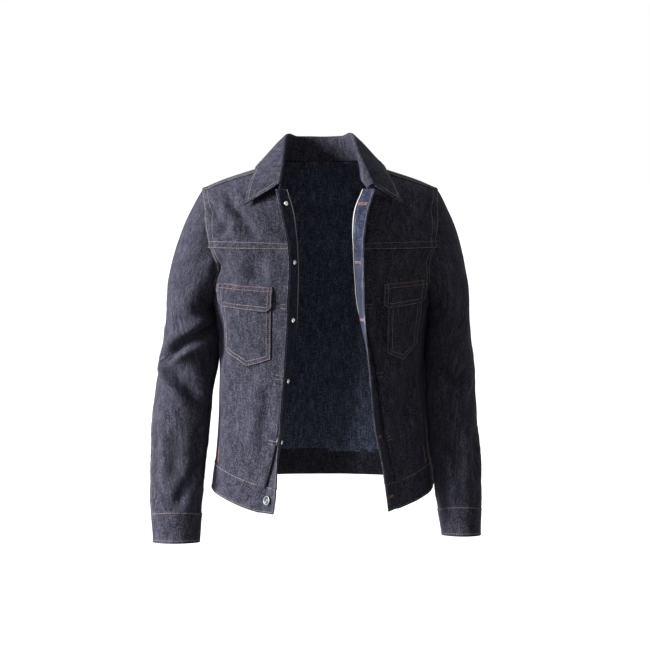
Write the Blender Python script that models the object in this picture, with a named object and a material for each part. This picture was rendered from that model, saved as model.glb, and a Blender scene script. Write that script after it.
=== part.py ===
"""A denim jacket, worn open and left hollow, as a maker cuts and sews it.

Frame: metres, +Z up, the front faces -Y, +X is the wearer's left. The origin is the centre of the
neck base, level with the high points of the shoulders. Right and left are the wearer's.
"""

import math
from collections import namedtuple
from functools import partial

import bmesh
import bpy
from mathutils import Matrix, Quaternion, Vector
from mathutils.bvhtree import BVHTree

# ---------------------------------------------------------------- driving dimensions
CLOTH = 0.0012          # one layer of denim
BAND = 0.0024           # a folded band: collar, waistband, cuff
PROUD = 0.0006          # how far a band stands out of the panels beside it
SEAM = 0.0003           # gap between two pieces at a seam
LAID = 0.0008           # gap under a piece that is laid on another
SQUARENESS = 2.4        # the body's rings lie between an ellipse (2) and a rectangle

# The body's rings. half: half the width; front and back: depths from the mid plane; centre: shift in X.
Ring = namedtuple("Ring", "z half front back centre")
BODY = [
    Ring(-0.132, 0.214, 0.117, 0.116, 0.006),
    Ring(-0.180, 0.200, 0.120, 0.119, 0.005),
    Ring(-0.235, 0.187, 0.121, 0.117, 0.002),
    Ring(-0.337, 0.177, 0.121, 0.108, 0.001),
    Ring(-0.420, 0.179, 0.124, 0.104, 0.002),
    Ring(-0.500, 0.186, 0.129, 0.107, 0.003),
    Ring(-0.560, 0.194, 0.134, 0.111, 0.004),
    Ring(-0.620, 0.199, 0.137, 0.113, 0.004),
]
# How far the back fills out behind the left arm, at each height; it is over within 30 degrees of
# the ring angle FILL_ANGLE.
Fill = namedtuple("Fill", "z out")
FILL = [
    Fill(-0.235, 0.0000), Fill(-0.262, 0.0130), Fill(-0.290, 0.0160), Fill(-0.337, 0.0185),
    Fill(-0.400, 0.0178), Fill(-0.440, 0.0180), Fill(-0.500, 0.0200), Fill(-0.560, 0.0150),
    Fill(-0.620, 0.0120),
]
FILL_ANGLE, FILL_WIDTH = 111.0, 13.0

# The line that each open front rolls out along, by its distance from the rings' middle, and the
# angle that the strip beyond it has turned through.
Roll = namedtuple("Roll", "z x angle")
ROLL_RIGHT = [
    Roll(-0.030, 0.0655, 120),
    Roll(-0.075, 0.054, 136),
    Roll(-0.132, 0.050, 122),
    Roll(-0.205, 0.047, 125),
    Roll(-0.250, 0.046, 129),
    Roll(-0.320, 0.054, 115),
    Roll(-0.416, 0.069, 97),
    Roll(-0.500, 0.0895, 58),
    Roll(-0.560, 0.1095, 15),
]
ROLL_LEFT = [
    Roll(-0.030, 0.0790, 125),
    Roll(-0.075, 0.060, 145),
    Roll(-0.132, 0.057, 126),
    Roll(-0.205, 0.064, 112),
    Roll(-0.250, 0.073, 98),
    Roll(-0.320, 0.091, 68),
    Roll(-0.416, 0.104, 54),
    Roll(-0.500, 0.122, 39),
    Roll(-0.585, 0.133, 33),
]
STRIP_WIDTH = 0.032     # from the roll line to the front edge
BEND_LENGTH = 0.010     # cloth taken up by the roll itself
PLEAT_LIFT = 0.0024     # the pleat's fold lies on the strip
PLEAT_EASE = 0.030      # and sinks to the panel over this width
UNDERLAP = 0.006        # of the strip, beneath the pleat

YOKE_SEAM = -0.132      # height of the yoke seams
SIDE_SEAM = 72.0        # ring angle: 0 is centre front, 90 the side, 180 centre back
WAIST_SEAM = -0.513     # top of the waistband at the sides and back
WAIST_HEIGHT = 0.047
HEM_DROP = 0.033        # how much lower the open fronts hang

# The shoulder line, from the neck out to the sleeve.
Shoulder = namedtuple("Shoulder", "x z")
SHOULDER = [Shoulder(0.000, 0.032), Shoulder(0.075, 0.010), Shoulder(0.100, 0.001),
            Shoulder(0.170, -0.022), Shoulder(0.212, -0.041)]
SHOULDER_Y = 0.010
TIP_X = 0.204           # end of the shoulder line at the armhole
STRIP_FORWARD = 68.0    # arch angle of the seam where the back yoke comes forward

# The armhole below the yokes. around: 0 is its top, 90 its front, 180 the armpit, 270 its back;
# angle: on the body's ring.
Armhole = namedtuple("Armhole", "around angle z")
ARMHOLE = [
    Armhole(70, 62, -0.132), Armhole(95, 60, -0.156), Armhole(120, 65, -0.190),
    Armhole(142, 73, -0.214), Armhole(160, 81, -0.227), Armhole(180, 90, -0.231),
    Armhole(205, 101, -0.225), Armhole(228, 110, -0.207), Armhole(255, 116, -0.172),
    Armhole(290, 118, -0.132),
]
ARMPIT_ROW = 5

# The neck seam on the shoulders' arch, from centre back to where the back yoke's strip ends.
Neck = namedtuple("Neck", "along x arch")
NECK = [Neck(0.0, 0.000, 124), Neck(0.4, 0.048, 112), Neck(0.8, 0.074, 90), Neck(1.0, 0.074, 68)]
NECK_FRONT_Z = -0.036   # where the neck seam meets the fronts' roll line

# The collar from its right end (-1) round the back (0) to its left end (1): the neck seam, the fold
# and the edge of the fall.
Collar = namedtuple("Collar", "along base_x base_y base_z fold_x fold_y fold_z edge_x edge_y edge_z")
COLLAR = [
    Collar(-1.00, -0.0680, -0.1040, -0.0345, -0.0690, -0.1080, -0.0290, -0.1270, -0.1010, -0.0620),
    Collar(-0.88, -0.0655, -0.0820, -0.0200, -0.0645, -0.0900, -0.0040, -0.1210, -0.0880, -0.0360),
    Collar(-0.72, -0.0680, -0.0440, 0.0010, -0.0620, -0.0480, 0.0250, -0.1130, -0.0580, -0.0130),
    Collar(-0.50, -0.0700, 0.0120, 0.0110, -0.0585, 0.0120, 0.0520, -0.1040, 0.0100, 0.0060),
    Collar(-0.25, -0.0450, 0.0550, 0.0100, -0.0390, 0.0640, 0.0500, -0.0640, 0.0930, -0.0010),
    Collar(0.00, 0.0000, 0.0730, 0.0090, 0.0000, 0.0800, 0.0490, 0.0000, 0.1120, -0.0030),
    Collar(0.25, 0.0450, 0.0550, 0.0100, 0.0380, 0.0640, 0.0510, 0.0640, 0.0930, -0.0010),
    Collar(0.50, 0.0700, 0.0120, 0.0110, 0.0560, 0.0120, 0.0550, 0.1040, 0.0100, 0.0060),
    Collar(0.72, 0.0690, -0.0440, 0.0010, 0.0645, -0.0480, 0.0270, 0.1170, -0.0580, -0.0130),
    Collar(0.88, 0.0705, -0.0820, -0.0200, 0.0770, -0.0900, -0.0040, 0.1300, -0.0880, -0.0350),
    Collar(1.00, 0.0800, -0.1040, -0.0335, 0.0870, -0.1080, -0.0285, 0.1400, -0.0980, -0.0590),
]
COLLAR_FOLD = 0.0030    # radius of the fold, at the cloth's middle

# The sleeves' rings down the arm. x and y: centre; half and deep: half sizes across and front to back.
Sleeve = namedtuple("Sleeve", "z x y half deep")
SLEEVE_RIGHT = [
    Sleeve(-0.245, 0.2275, 0.004, 0.0405, 0.068),
    Sleeve(-0.290, 0.2272, 0.005, 0.0453, 0.063),
    Sleeve(-0.337, 0.2298, 0.005, 0.0502, 0.058),
    Sleeve(-0.408, 0.2400, -0.003, 0.0515, 0.053),
    Sleeve(-0.461, 0.2440, -0.014, 0.0500, 0.050),
    Sleeve(-0.515, 0.2480, -0.028, 0.0475, 0.047),
    Sleeve(-0.568, 0.2500, -0.043, 0.0455, 0.045),
    Sleeve(-0.600, 0.2495, -0.053, 0.0435, 0.043),
    Sleeve(-0.646, 0.2490, -0.066, 0.0400, 0.040),
]
SLEEVE_LEFT = [
    Sleeve(-0.245, 0.2260, 0.004, 0.0345, 0.070),
    Sleeve(-0.290, 0.2255, 0.005, 0.0380, 0.066),
    Sleeve(-0.337, 0.2275, 0.005, 0.0425, 0.062),
    Sleeve(-0.408, 0.2297, -0.003, 0.0438, 0.058),
    Sleeve(-0.461, 0.2330, -0.014, 0.0430, 0.055),
    Sleeve(-0.515, 0.2388, -0.028, 0.0412, 0.052),
    Sleeve(-0.568, 0.2410, -0.043, 0.0395, 0.048),
    Sleeve(-0.592, 0.2430, -0.051, 0.0375, 0.046),
    Sleeve(-0.634, 0.2450, -0.063, 0.0335, 0.044),
]
CUFF_ROW = 7            # the row at the top of the cuff
CAP_ROWS = 5            # from the armhole to the first ring
SLEEVE_LINES = [-0.275, -0.305, -0.330, -0.350, -0.370, -0.390, -0.410, -0.440, -0.480, -0.520, -0.560]
OUTER_SEAM = (-50.0, 16.0)   # around the sleeve, at the armhole and from the elbow down
INNER_SEAM = 196.0
CAP_DEPTH = 0.150       # unit of the coordinate down the sleeve, about the armhole's half depth
CAP_GAP = 0.0022        # from the yoke's edge to the sleeve's
HALF_GAP = 0.2          # degrees left on each side of a sleeve seam
CUFF_START, CUFF_TURN, CUFF_LAP = -75.0, 380.0, 20.0

# The largest folds of the sleeves: across the height z and the angle around, sloping by slope
# (metres for each metre around), soft troughs where depth is negative.
Fold = namedtuple("Fold", "z around slope width length depth")
FOLDS_RIGHT = [
    Fold(-0.352, 118, 0.60, 0.016, 0.060, -0.007),
    Fold(-0.380, 62, -0.55, 0.015, 0.045, -0.006),
    Fold(-0.330, 70, 0.20, 0.020, 0.040, 0.004),
    Fold(-0.405, 95, -0.10, 0.020, 0.040, 0.004),
    Fold(-0.520, 120, 0.90, 0.018, 0.045, -0.005),
]
FOLDS_LEFT = [
    Fold(-0.365, 110, 0.45, 0.018, 0.055, -0.005),
    Fold(-0.400, 60, -0.45, 0.016, 0.045, -0.004),
    Fold(-0.500, 100, 0.50, 0.018, 0.045, -0.004),
]

# The chest pockets and their flaps, by distance from the rings' middle and by height.
Pocket = namedtuple("Pocket", "inner outer top inner_z tip_z outer_z")
POCKETS = {
    "right": Pocket(0.083, 0.166, -0.215, -0.310, -0.3275, -0.308),
    "left": Pocket(0.112, 0.167, -0.211, -0.304, -0.320, -0.298),
}
Flap = namedtuple("Flap", "inner outer inner_z outer_z height cut")
FLAPS = {
    "right": Flap(0.082, 0.176, -0.1965, -0.194, 0.041, 0.009),
    "left": Flap(0.103, 0.177, -0.192, -0.188, 0.041, 0.009),
}
FLAP_LIFT = 0.0020      # the flap passes over the pocket's mouth

BUTTON_RADIUS = 0.0085
BUTTON_HEIGHT = 0.0030
RIVET_RADIUS = 0.0040
RIVET_HEIGHT = 0.0012
FRONT_BUTTONS = [-0.060, -0.156, -0.246, -0.338, -0.433]   # before the hem drop, on the right front strip
BUTTON_FROM_EDGE = 0.0145
WAIST_BUTTON_FROM_EDGE = 0.0185

INDIGO = (0.020, 0.024, 0.045)
NICKEL = (0.45, 0.45, 0.46)


# ---------------------------------------------------------------- shared helpers
def smooth(rows, key, column, at):
    """The column's value where the rows' key equals at, on a smooth curve through the rows."""
    points = sorted((getattr(row, key), getattr(row, column)) for row in rows)
    keys, values = zip(*points)
    at = min(max(at, keys[0]), keys[-1])
    i = 0
    while i < len(keys) - 2 and at > keys[i + 1]:
        i += 1
    before, after = max(i - 1, 0), min(i + 2, len(keys) - 1)
    gap = keys[i + 1] - keys[i]
    t = (at - keys[i]) / gap
    rise_0 = (values[i + 1] - values[before]) / (keys[i + 1] - keys[before]) * gap
    rise_1 = (values[after] - values[i]) / (keys[after] - keys[i]) * gap
    return (
        (2 * t**3 - 3 * t**2 + 1) * values[i]
        + (t**3 - 2 * t**2 + t) * rise_0
        + (3 * t**2 - 2 * t**3) * values[i + 1]
        + (t**3 - t**2) * rise_1
    )


def ease(t):
    """0 to 1 with level ends."""
    t = min(max(t, 0.0), 1.0)
    return t * t * (3 - 2 * t)


def mix(a, b, t):
    return a + (b - a) * t


def bent(value):
    """A sine or cosine bent so that a ring drawn with it has the body's squareness."""
    return math.copysign(abs(value) ** (2 / SQUARENESS), value)


def material(name, colour, roughness, metallic=0.0):
    made = bpy.data.materials.get(name)
    if made is None:
        made = bpy.data.materials.new(name)
        made.use_nodes = True
        shader = made.node_tree.nodes["Principled BSDF"]
        shader.inputs["Base Color"].default_value = (*colour, 1.0)
        shader.inputs["Roughness"].default_value = roughness
        shader.inputs["Metallic"].default_value = metallic
    return made


def denim():
    return material("indigo denim", INDIGO, 0.85)


def place(name, bm, finish):
    """Makes the bmesh an object of that name, its faces pointing out."""
    bmesh.ops.recalc_face_normals(bm, faces=bm.faces)
    if bm.calc_volume(signed=True) < 0:
        bmesh.ops.reverse_faces(bm, faces=bm.faces)
    mesh = bpy.data.meshes.new(name)
    bm.to_mesh(mesh)
    bm.free()
    mesh.materials.append(finish)
    made = bpy.data.objects.new(name, mesh)
    bpy.context.collection.objects.link(made)
    return made


def pick(values, t):
    """The value at the share t of the way along a list, in equal steps."""
    at = t * (len(values) - 1)
    i = min(int(at), len(values) - 2)
    return mix(values[i], values[i + 1], at - i)


# A form gives a point for two coordinates. The steps are small changes of them that its normal is
# taken from, and facing is -1 where their cross product points into the garment.
Form = namedtuple("Form", "at p_step q_step facing")


def off(form, p, q, out):
    """The form's point at (p, q), moved out along its normal."""
    across = form.at(p + form.p_step, q) - form.at(p - form.p_step, q)
    along = form.at(p, q + form.q_step) - form.at(p, q - form.q_step)
    return form.at(p, q) + across.cross(along).normalized() * (out * form.facing)


def wall(name, where, columns, rows, inside, outside, finish, lift=None, notch=None):
    """A cloth wall from inside to outside of the form that where(u, v) names with its coordinates.

    The slab is made flat, one square with a layer's height, and then each point goes to its place.
    A notch is the corner left out of the square: less than its u and more than its v.
    """
    bm = bmesh.new()
    bmesh.ops.create_grid(bm, x_segments=columns, y_segments=rows, size=0.5)
    bmesh.ops.translate(bm, verts=bm.verts, vec=(0.5, 0.5, 0.0))
    if notch:
        middles = [(face, face.calc_center_median()) for face in bm.faces]
        cut_off = [face for face, middle in middles if middle.x < notch[0] and middle.y > notch[1]]
        bmesh.ops.delete(bm, geom=cut_off, context="FACES")
    raised = bmesh.ops.extrude_face_region(bm, geom=bm.faces[:])["geom"]
    raised = [item for item in raised if isinstance(item, bmesh.types.BMVert)]
    bmesh.ops.translate(bm, verts=raised, vec=(0.0, 0.0, 1.0))
    for vert in bm.verts:
        u, v = (min(max(c, 0.0), 1.0) for c in vert.co[:2])
        out = mix(inside, outside, vert.co.z) + (lift(u, v) if lift else 0.0)
        vert.co = off(*where(u, v), out)
    bmesh.ops.triangulate(bm, faces=bm.faces[:])
    return place(name, bm, finish)


# ---------------------------------------------------------------- the form of the body
def ring_point(angle, z, drop=0.0):
    """On the body's ring at height z; the angle in degrees is negative on the wearer's right."""
    half, front, back, centre = (smooth(BODY, "z", c, z) for c in ("half", "front", "back", "centre"))
    turn = math.radians(angle)
    depth = front if math.cos(turn) > 0 else back
    fill = smooth(FILL, "z", "out", z) * math.exp(-(((angle % 360.0 - FILL_ANGLE) / FILL_WIDTH) ** 2))
    return Vector((centre + half * bent(math.sin(turn)) + fill, -depth * bent(math.cos(turn)), z - drop))


def ring_angle(x, z):
    """The front ring angle at the distance x from the ring's middle."""
    return math.degrees(math.asin(min(x / smooth(BODY, "z", "half", z), 1.0) ** (SQUARENESS / 2)))


def hem_drop(angle, z):
    """How much lower the cloth hangs here than at the side: nothing at the yoke, all of it at the hem."""
    share = ease((YOKE_SEAM - z) / (YOKE_SEAM - WAIST_SEAM))
    return HEM_DROP * max(math.cos(math.radians(angle)), 0.0) ** 2.5 * share


def hung_point(angle, z):
    return ring_point(angle, z, hem_drop(angle, z))


def shoulder_point(side, x, arch):
    """On the arch over a shoulder: 0 is the yoke seam in front, 90 the shoulder line, 180 the back."""
    arch = min(max(arch, 0.0), 180.0)
    half, front, back, centre = (smooth(BODY, "z", c, YOKE_SEAM) for c in ("half", "front", "back", "centre"))
    narrow = (1 - min(abs(x) / half, 1.0) ** SQUARENESS) ** (1 / SQUARENESS)
    seam_y = -front * narrow if arch < 90 else back * narrow
    turn = math.radians(arch)
    rise = abs(bent(math.sin(turn)))
    return Vector((
        side * x + centre * (1 - rise),
        mix(SHOULDER_Y, seam_y, abs(bent(math.cos(turn)))),
        mix(YOKE_SEAM, smooth(SHOULDER, "x", "z", abs(x)), rise),
    ))


def arch_at(x, z):
    """The arch angle in front where the arch at x has the height z."""
    share = (z - YOKE_SEAM) / (smooth(SHOULDER, "x", "z", x) - YOKE_SEAM)
    return math.degrees(math.asin(min(max(share, 0.0), 1.0) ** (SQUARENESS / 2)))


def armhole_x(arch):
    """Where the yokes end at the armhole."""
    seam = ARMHOLE[0] if arch < 90 else ARMHOLE[-1]
    seam_x = smooth(BODY, "z", "half", YOKE_SEAM) * bent(math.sin(math.radians(seam.angle)))
    return mix(seam_x, TIP_X, math.sin(math.radians(arch)))


def armhole_angle(z):
    """Where the front armhole crosses the body's ring at height z."""
    return smooth(ARMHOLE[:ARMPIT_ROW + 1], "z", "angle", z)


RING = Form(hung_point, 0.3, 0.001, 1)
SHOULDERS = {side: Form(partial(shoulder_point, side), 0.001, 0.3, side) for side in (-1, 1)}


def rolled(origin, inward, outward, angle, distance):
    """A point this far beyond the roll line, on cloth that has turned outward by the angle."""
    turn = math.radians(angle)
    share = min(distance / BEND_LENGTH, 1.0)
    radius = BEND_LENGTH / turn
    straight = max(distance - BEND_LENGTH, 0.0)
    reach = radius * math.sin(turn * share) + straight * math.cos(turn)
    rise = radius * (1 - math.cos(turn * share)) + straight * math.sin(turn)
    return origin + inward * reach + outward * rise


class Front:
    """The form of one open front. side is -1 on the wearer's right and 1 on the left."""

    def __init__(self, side, roll):
        self.side = side
        self.roll = roll
        self.form = Form(self.strip, 0.0005, 0.001, -side)

    def roll_x(self, z):
        return smooth(self.roll, "z", "x", z)

    def chest(self, x, z):
        """At the distance x from the middle and the height z, above or below the yoke seam."""
        if z > YOKE_SEAM:
            return shoulder_point(self.side, x, arch_at(x, z))
        return hung_point(self.side * ring_angle(x, z), z)

    def strip(self, distance, z):
        """This far beyond the roll line, towards the front edge; behind it where distance is negative."""
        x = self.roll_x(z)
        if distance <= 0:
            return self.chest(x - distance, z)
        origin = self.chest(x, z)
        inward = self.chest(x - 0.004, z) - origin
        inward.z = 0.0
        inward.normalize()
        outward = Vector((-self.side * inward.y, self.side * inward.x, 0.0))
        return rolled(origin, inward, outward, smooth(self.roll, "z", "angle", z), distance)


FRONTS = {"right": Front(-1, ROLL_RIGHT), "left": Front(1, ROLL_LEFT)}


# ---------------------------------------------------------------- yokes, fronts and back
# Distances beyond the roll line and heights that the pieces on a front edge share as their lines.
STRIP_LINES = [STRIP_WIDTH, 0.021, BEND_LENGTH, BEND_LENGTH / 2, 0.0]
FRONT_HEIGHTS = [mix(WAIST_SEAM, YOKE_SEAM - SEAM, i / 10) for i in range(11)]
YOKE_HEIGHTS = [mix(YOKE_SEAM, NECK_FRONT_Z, i / 5) for i in range(6)]


def front_yoke(name, front):
    """Cut from the front edge to the armhole, and from the yoke seam to the neck and shoulder strip."""
    edge_share = 0.4
    neck_share = 5 / 7
    first_x = front.roll_x(YOKE_SEAM)
    neck_x = front.roll_x(NECK_FRONT_Z)
    strip_arch = STRIP_FORWARD - 0.2

    def front_line(v):
        """Up the roll line and then along the neck."""
        if v < neck_share:
            z = pick(YOKE_HEIGHTS, v / neck_share)
            return front.roll_x(z), arch_at(front.roll_x(z), z)
        share = (v - neck_share) / (1 - neck_share)
        return mix(neck_x, NECK[-1].x, share), mix(arch_at(neck_x, NECK_FRONT_Z), strip_arch, share)

    def where(u, v):
        if u < edge_share:
            z = pick(YOKE_HEIGHTS, min(v / neck_share, 1.0))
            return front.form, pick(STRIP_LINES, u / edge_share), z
        w = (u - edge_share) / (1 - edge_share)
        line_x, line_arch = front_line(v)
        arch = strip_arch * v
        seam_x = mix(first_x, armhole_x(0), w)
        top_x = mix(NECK[-1].x, armhole_x(strip_arch), w)
        from_line = line_x - mix(first_x, NECK[-1].x, v)
        from_armhole = armhole_x(arch) - mix(armhole_x(0), armhole_x(strip_arch), v)
        x = mix(seam_x, top_x, v) + from_line * (1 - w) ** 2 + from_armhole * w**2
        return SHOULDERS[front.side], x, arch + (line_arch - arch) * (1 - w) ** 2

    return wall(name, where, 10, 7, -CLOTH, 0.0, denim(), notch=(edge_share, neck_share))


def back_yoke(name):
    """Cut whole, from the seam across the back over both shoulders to the strips in front."""
    def where(u, v):
        out = abs(2 * u - 1)
        if out < 0.5:
            top_x, top_arch = (smooth(NECK, "along", c, out / 0.5) for c in ("x", "arch"))
        else:
            top_x, top_arch = mix(NECK[-1].x, armhole_x(STRIP_FORWARD), (out - 0.5) / 0.5), STRIP_FORWARD
        arch = mix(180.0, top_arch, v)
        from_armhole = armhole_x(arch) - mix(armhole_x(180), armhole_x(STRIP_FORWARD), v)
        x = mix(armhole_x(180) * out, top_x, v) + from_armhole * out**4
        return SHOULDERS[1 if u < 0.5 else -1], x, arch

    return wall(name, where, 20, 8, -CLOTH, 0.0, denim())


def front_panel(name, front):
    """Cut from the pleat's fold to the side seam and the armhole, between the yoke and the waistband."""
    def where(u, v):
        z = pick(FRONT_HEIGHTS, v)
        outer = min(SIDE_SEAM, armhole_angle(z)) - 0.1
        return RING, front.side * mix(ring_angle(front.roll_x(z) + SEAM, z), outer, u), z

    def lift(u, v):
        _, angle, z = where(u, v)
        x = smooth(BODY, "z", "half", z) * bent(math.sin(math.radians(abs(angle))))
        return PLEAT_LIFT * (1 - ease((x - front.roll_x(z)) / PLEAT_EASE))

    return wall(name, where, 9, 10, -CLOTH, 0.0, denim(), lift)


BACK_COLUMNS = [SIDE_SEAM + 0.1, 80, 90, 101, 110, 116, 118, 138, 159, 180]


def back_panel(name):
    """Cut whole, from side seam to side seam; its top follows the armholes and the back yoke."""
    def where(u, v):
        angle = pick(BACK_COLUMNS, 1 - abs(2 * u - 1))
        if angle >= ARMHOLE[-1].angle:
            top = YOKE_SEAM - SEAM
        else:
            top = smooth(ARMHOLE[3:], "angle", "z", angle) - SEAM
        return RING, angle if u < 0.5 else 360 - angle, mix(WAIST_SEAM, top, v)

    return wall(name, where, 2 * len(BACK_COLUMNS) - 2, 8, -CLOTH, 0.0, denim())


def placket(name, front):
    """The front strip below the yoke, from the front edge to just under the pleat."""
    lines = STRIP_LINES + [-UNDERLAP]

    def where(u, v):
        return front.form, pick(lines, u), pick(FRONT_HEIGHTS, v)

    return wall(name, where, 5, 10, -CLOTH, 0.0, denim())


def facing(name, front):
    """The strip sewn inside the front edge, from the waistband to the neck, with its face side showing."""
    lines = [STRIP_WIDTH - 0.0005, *STRIP_LINES[1:-1], 0.0005]
    heights = FRONT_HEIGHTS + YOKE_HEIGHTS[1:]

    def where(u, v):
        return front.form, pick(lines, u), pick(heights, v)

    return wall(name, where, 4, 15, -2 * CLOTH - SEAM, -CLOTH - SEAM, denim())


def waistband(name):
    """One folded band from the right front edge round the back to the left front edge."""
    edge_share = 4 / 34

    def where(u, v):
        z = mix(WAIST_SEAM - WAIST_HEIGHT, WAIST_SEAM - 2 * SEAM, v)
        right, left = FRONTS["right"], FRONTS["left"]
        if u < edge_share:
            return right.form, pick(STRIP_LINES, u / edge_share), z
        if u > 1 - edge_share:
            return left.form, pick(STRIP_LINES, (1 - u) / edge_share), z
        start = -ring_angle(right.roll_x(z), z)
        end = ring_angle(left.roll_x(z), z) - 360
        return RING, mix(start, end, (u - edge_share) / (1 - 2 * edge_share)), z

    return wall(name, where, 34, 2, PROUD - BAND, PROUD, denim())


# ---------------------------------------------------------------- collar
def collar_point(u, v):
    """v runs from the neck seam up to the fold and down the fall to its edge."""
    along = 2 * min(max(u, 0.0), 1.0) - 1
    v = min(max(v, 0.0), 1.0)
    base, fold, edge = (
        Vector([smooth(COLLAR, "along", f"{end}_{axis}", along) for axis in "xyz"])
        for end in ("base", "fold", "edge")
    )
    away = edge - base
    away.z = 0.0
    away.normalize()
    up = (fold - base).normalized()
    if v < 0.375:
        return base.lerp(fold - away * COLLAR_FOLD, v / 0.375)
    if v > 0.625:
        return (fold + away * COLLAR_FOLD).lerp(edge, (v - 0.625) / 0.375)
    turn = math.pi * (v - 0.375) / 0.25
    return fold - away * (COLLAR_FOLD * math.cos(turn)) + up * (COLLAR_FOLD * math.sin(turn))


def collar(name):
    """One double piece, folded over: the stand against the neck and the fall on the shoulders."""
    form = Form(collar_point, 0.004, 0.004, 1)
    return wall(name, lambda u, v: (form, u, v), 20, 8, -BAND / 2, BAND / 2, denim())


# ---------------------------------------------------------------- sleeves and cuffs
class Arm:
    """The form of one sleeve, by the angle around it: 0 outer, 90 front, 180 inner, 270 back."""

    def __init__(self, side, rows, folds):
        self.side = side
        self.rows = rows
        self.folds = folds
        self.sleeve_form = Form(self.point, 0.5, 0.004, side)
        self.cuff_form = Form(self.ring, 0.5, 0.001, -side)

    def armhole(self, around):
        """On the armhole's edge, over the shoulder or below the yokes."""
        around %= 360
        first, last = ARMHOLE[0], ARMHOLE[-1]
        if first.around <= around <= last.around:
            angle, z = (smooth(ARMHOLE, "around", c, around) for c in ("angle", "z"))
            return hung_point(self.side * angle, z)
        if around < first.around:
            arch = 90 * (1 - around / first.around)
        else:
            arch = 90 * (1 + (360 - around) / (360 - last.around))
        return shoulder_point(self.side, armhole_x(arch), arch)

    def ring(self, around, z):
        """On the sleeve's own ring; the ring stands square to the arm where the arm leans forward."""
        x, y, half, deep = (smooth(self.rows, "z", c, z) for c in ("x", "y", "half", "deep"))
        lean = (smooth(self.rows, "z", "y", z + 0.01) - smooth(self.rows, "z", "y", z - 0.01)) / 0.02
        forward = Vector((0.0, -1.0, lean)).normalized()
        turn = math.radians(around)
        across = Vector((self.side * half * math.cos(turn), 0.0, 0.0))
        return Vector((self.side * x, y, z)) + across + forward * (deep * math.sin(turn))

    def creased(self, point, around, z):
        """The ring's point moved in or out by the folds that cross it."""
        half, deep = (smooth(self.rows, "z", c, z) for c in ("half", "deep"))
        out = 0.0
        for fold in self.folds:
            walk = math.radians(around - fold.around) * (half + deep) / 2
            off = (z - fold.z - walk * fold.slope) / fold.width
            out += fold.depth * math.exp(-off**2 - (walk / fold.length) ** 2)
        turn = math.radians(around)
        return point + Vector((self.side * math.cos(turn), -math.sin(turn), 0.0)) * out

    def point(self, around, down):
        """down is 0 at the armhole and 1 at the first ring; from there it goes on with the depth."""
        first = self.rows[0].z
        if down > 1:
            z = first - (down - 1) * CAP_DEPTH
            return self.creased(self.ring(around, z), around, z)
        t = max(down, 0.0)
        turn = math.radians(around)
        leave = Vector((
            self.side * (0.46 + 0.06 * math.cos(turn)), -0.30 * math.sin(turn), -0.62 - 0.2 * math.cos(turn)
        ))
        start = self.armhole(around) + leave.normalized() * CAP_GAP
        end = self.creased(self.ring(around, first), around, first)
        length = (end - start).length
        return (
            (2 * t**3 - 3 * t**2 + 1) * start
            + (t**3 - 2 * t**2 + t) * length * leave
            + (3 * t**2 - 2 * t**3) * end
            + (t**3 - t**2) * length * Vector((0.0, 0.0, -0.9))
        )

    def rows_down(self):
        """The sleeve's lines from the armhole to the cuff seam."""
        heights = SLEEVE_LINES + [self.rows[CUFF_ROW].z + SEAM]
        return [i / CAP_ROWS for i in range(CAP_ROWS + 1)] + [
            1 + (self.rows[0].z - z) / CAP_DEPTH for z in heights
        ]


ARMS = {"right": Arm(-1, SLEEVE_RIGHT, FOLDS_RIGHT), "left": Arm(1, SLEEVE_LEFT, FOLDS_LEFT)}


def outer_seam(down):
    return mix(*OUTER_SEAM, ease(down / 1.8))


def sleeve_half(name, arm, start, end, columns):
    """Between two seams given by their angles around the sleeve, from the armhole to the cuff."""
    lines = arm.rows_down()

    def where(u, v):
        down = pick(lines, v)
        return arm.sleeve_form, mix(start(down) + HALF_GAP, end(down) - HALF_GAP, u), down

    return wall(name, where, columns, len(lines) - 1, -CLOTH, 0.0, denim())


def cuff(name, arm):
    """A folded band round the wrist, closed with one button at the back."""
    top = arm.rows[CUFF_ROW].z - SEAM

    def where(u, v):
        return arm.cuff_form, CUFF_START + CUFF_TURN * u, mix(arm.rows[-1].z, top, v)

    def lift(u, v):
        """Its end lies on its beginning."""
        return (BAND + LAID) * ease((CUFF_TURN * u - 344) / 14)

    return wall(name, where, 17, 2, PROUD - BAND, PROUD, denim(), lift)


# ---------------------------------------------------------------- pockets and flaps
def pocket(name, front, sizes):
    """Laid on the front panel, 8 mm wider at its mouth; its bottom comes to a point."""
    bottoms = [sizes.inner_z, sizes.tip_z, sizes.outer_z]

    def where(u, v):
        z = mix(pick(bottoms, u), sizes.top, v)
        return front.form, front.roll_x(z) - mix(sizes.inner, sizes.outer + 0.008 * v, u), z

    return wall(name, where, 8, 6, LAID, LAID + CLOTH, denim())


def flap(name, front, sizes):
    """Sewn above the pocket's mouth and hanging over it, its lower corners cut off."""
    width = sizes.outer - sizes.inner

    def where(u, v):
        top = mix(sizes.inner_z, sizes.outer_z, u)
        to_end = min(u, 1 - u) * width
        z = mix(top - sizes.height + max(sizes.cut - to_end, 0.0), top, v)
        return front.form, front.roll_x(z) - mix(sizes.inner, sizes.outer, u), z

    def lift(u, v):
        return FLAP_LIFT * ease((1 - v) / 0.35)

    return wall(name, where, 9, 3, LAID, LAID + CLOTH, denim(), lift)


# ---------------------------------------------------------------- buttons and rivet backs
def seat(cloth, point, normal, radius):
    """The place for a disc's middle on the normal through point, a seam's gap above the cloth's faces."""
    faces = cloth.data
    tree = BVHTree.FromPolygons([v.co for v in faces.vertices], [f.vertices[:] for f in faces.polygons])
    above = point + normal * 0.005
    across = normal.orthogonal().normalized() * radius
    rim = [Quaternion(normal, math.tau * i / 12) @ across for i in range(12)]
    drops = [tree.ray_cast(above + out, -normal, 0.010)[3] for out in [Vector(), *rim]]
    return above - normal * (min(drop for drop in drops if drop is not None) - SEAM)


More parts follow.
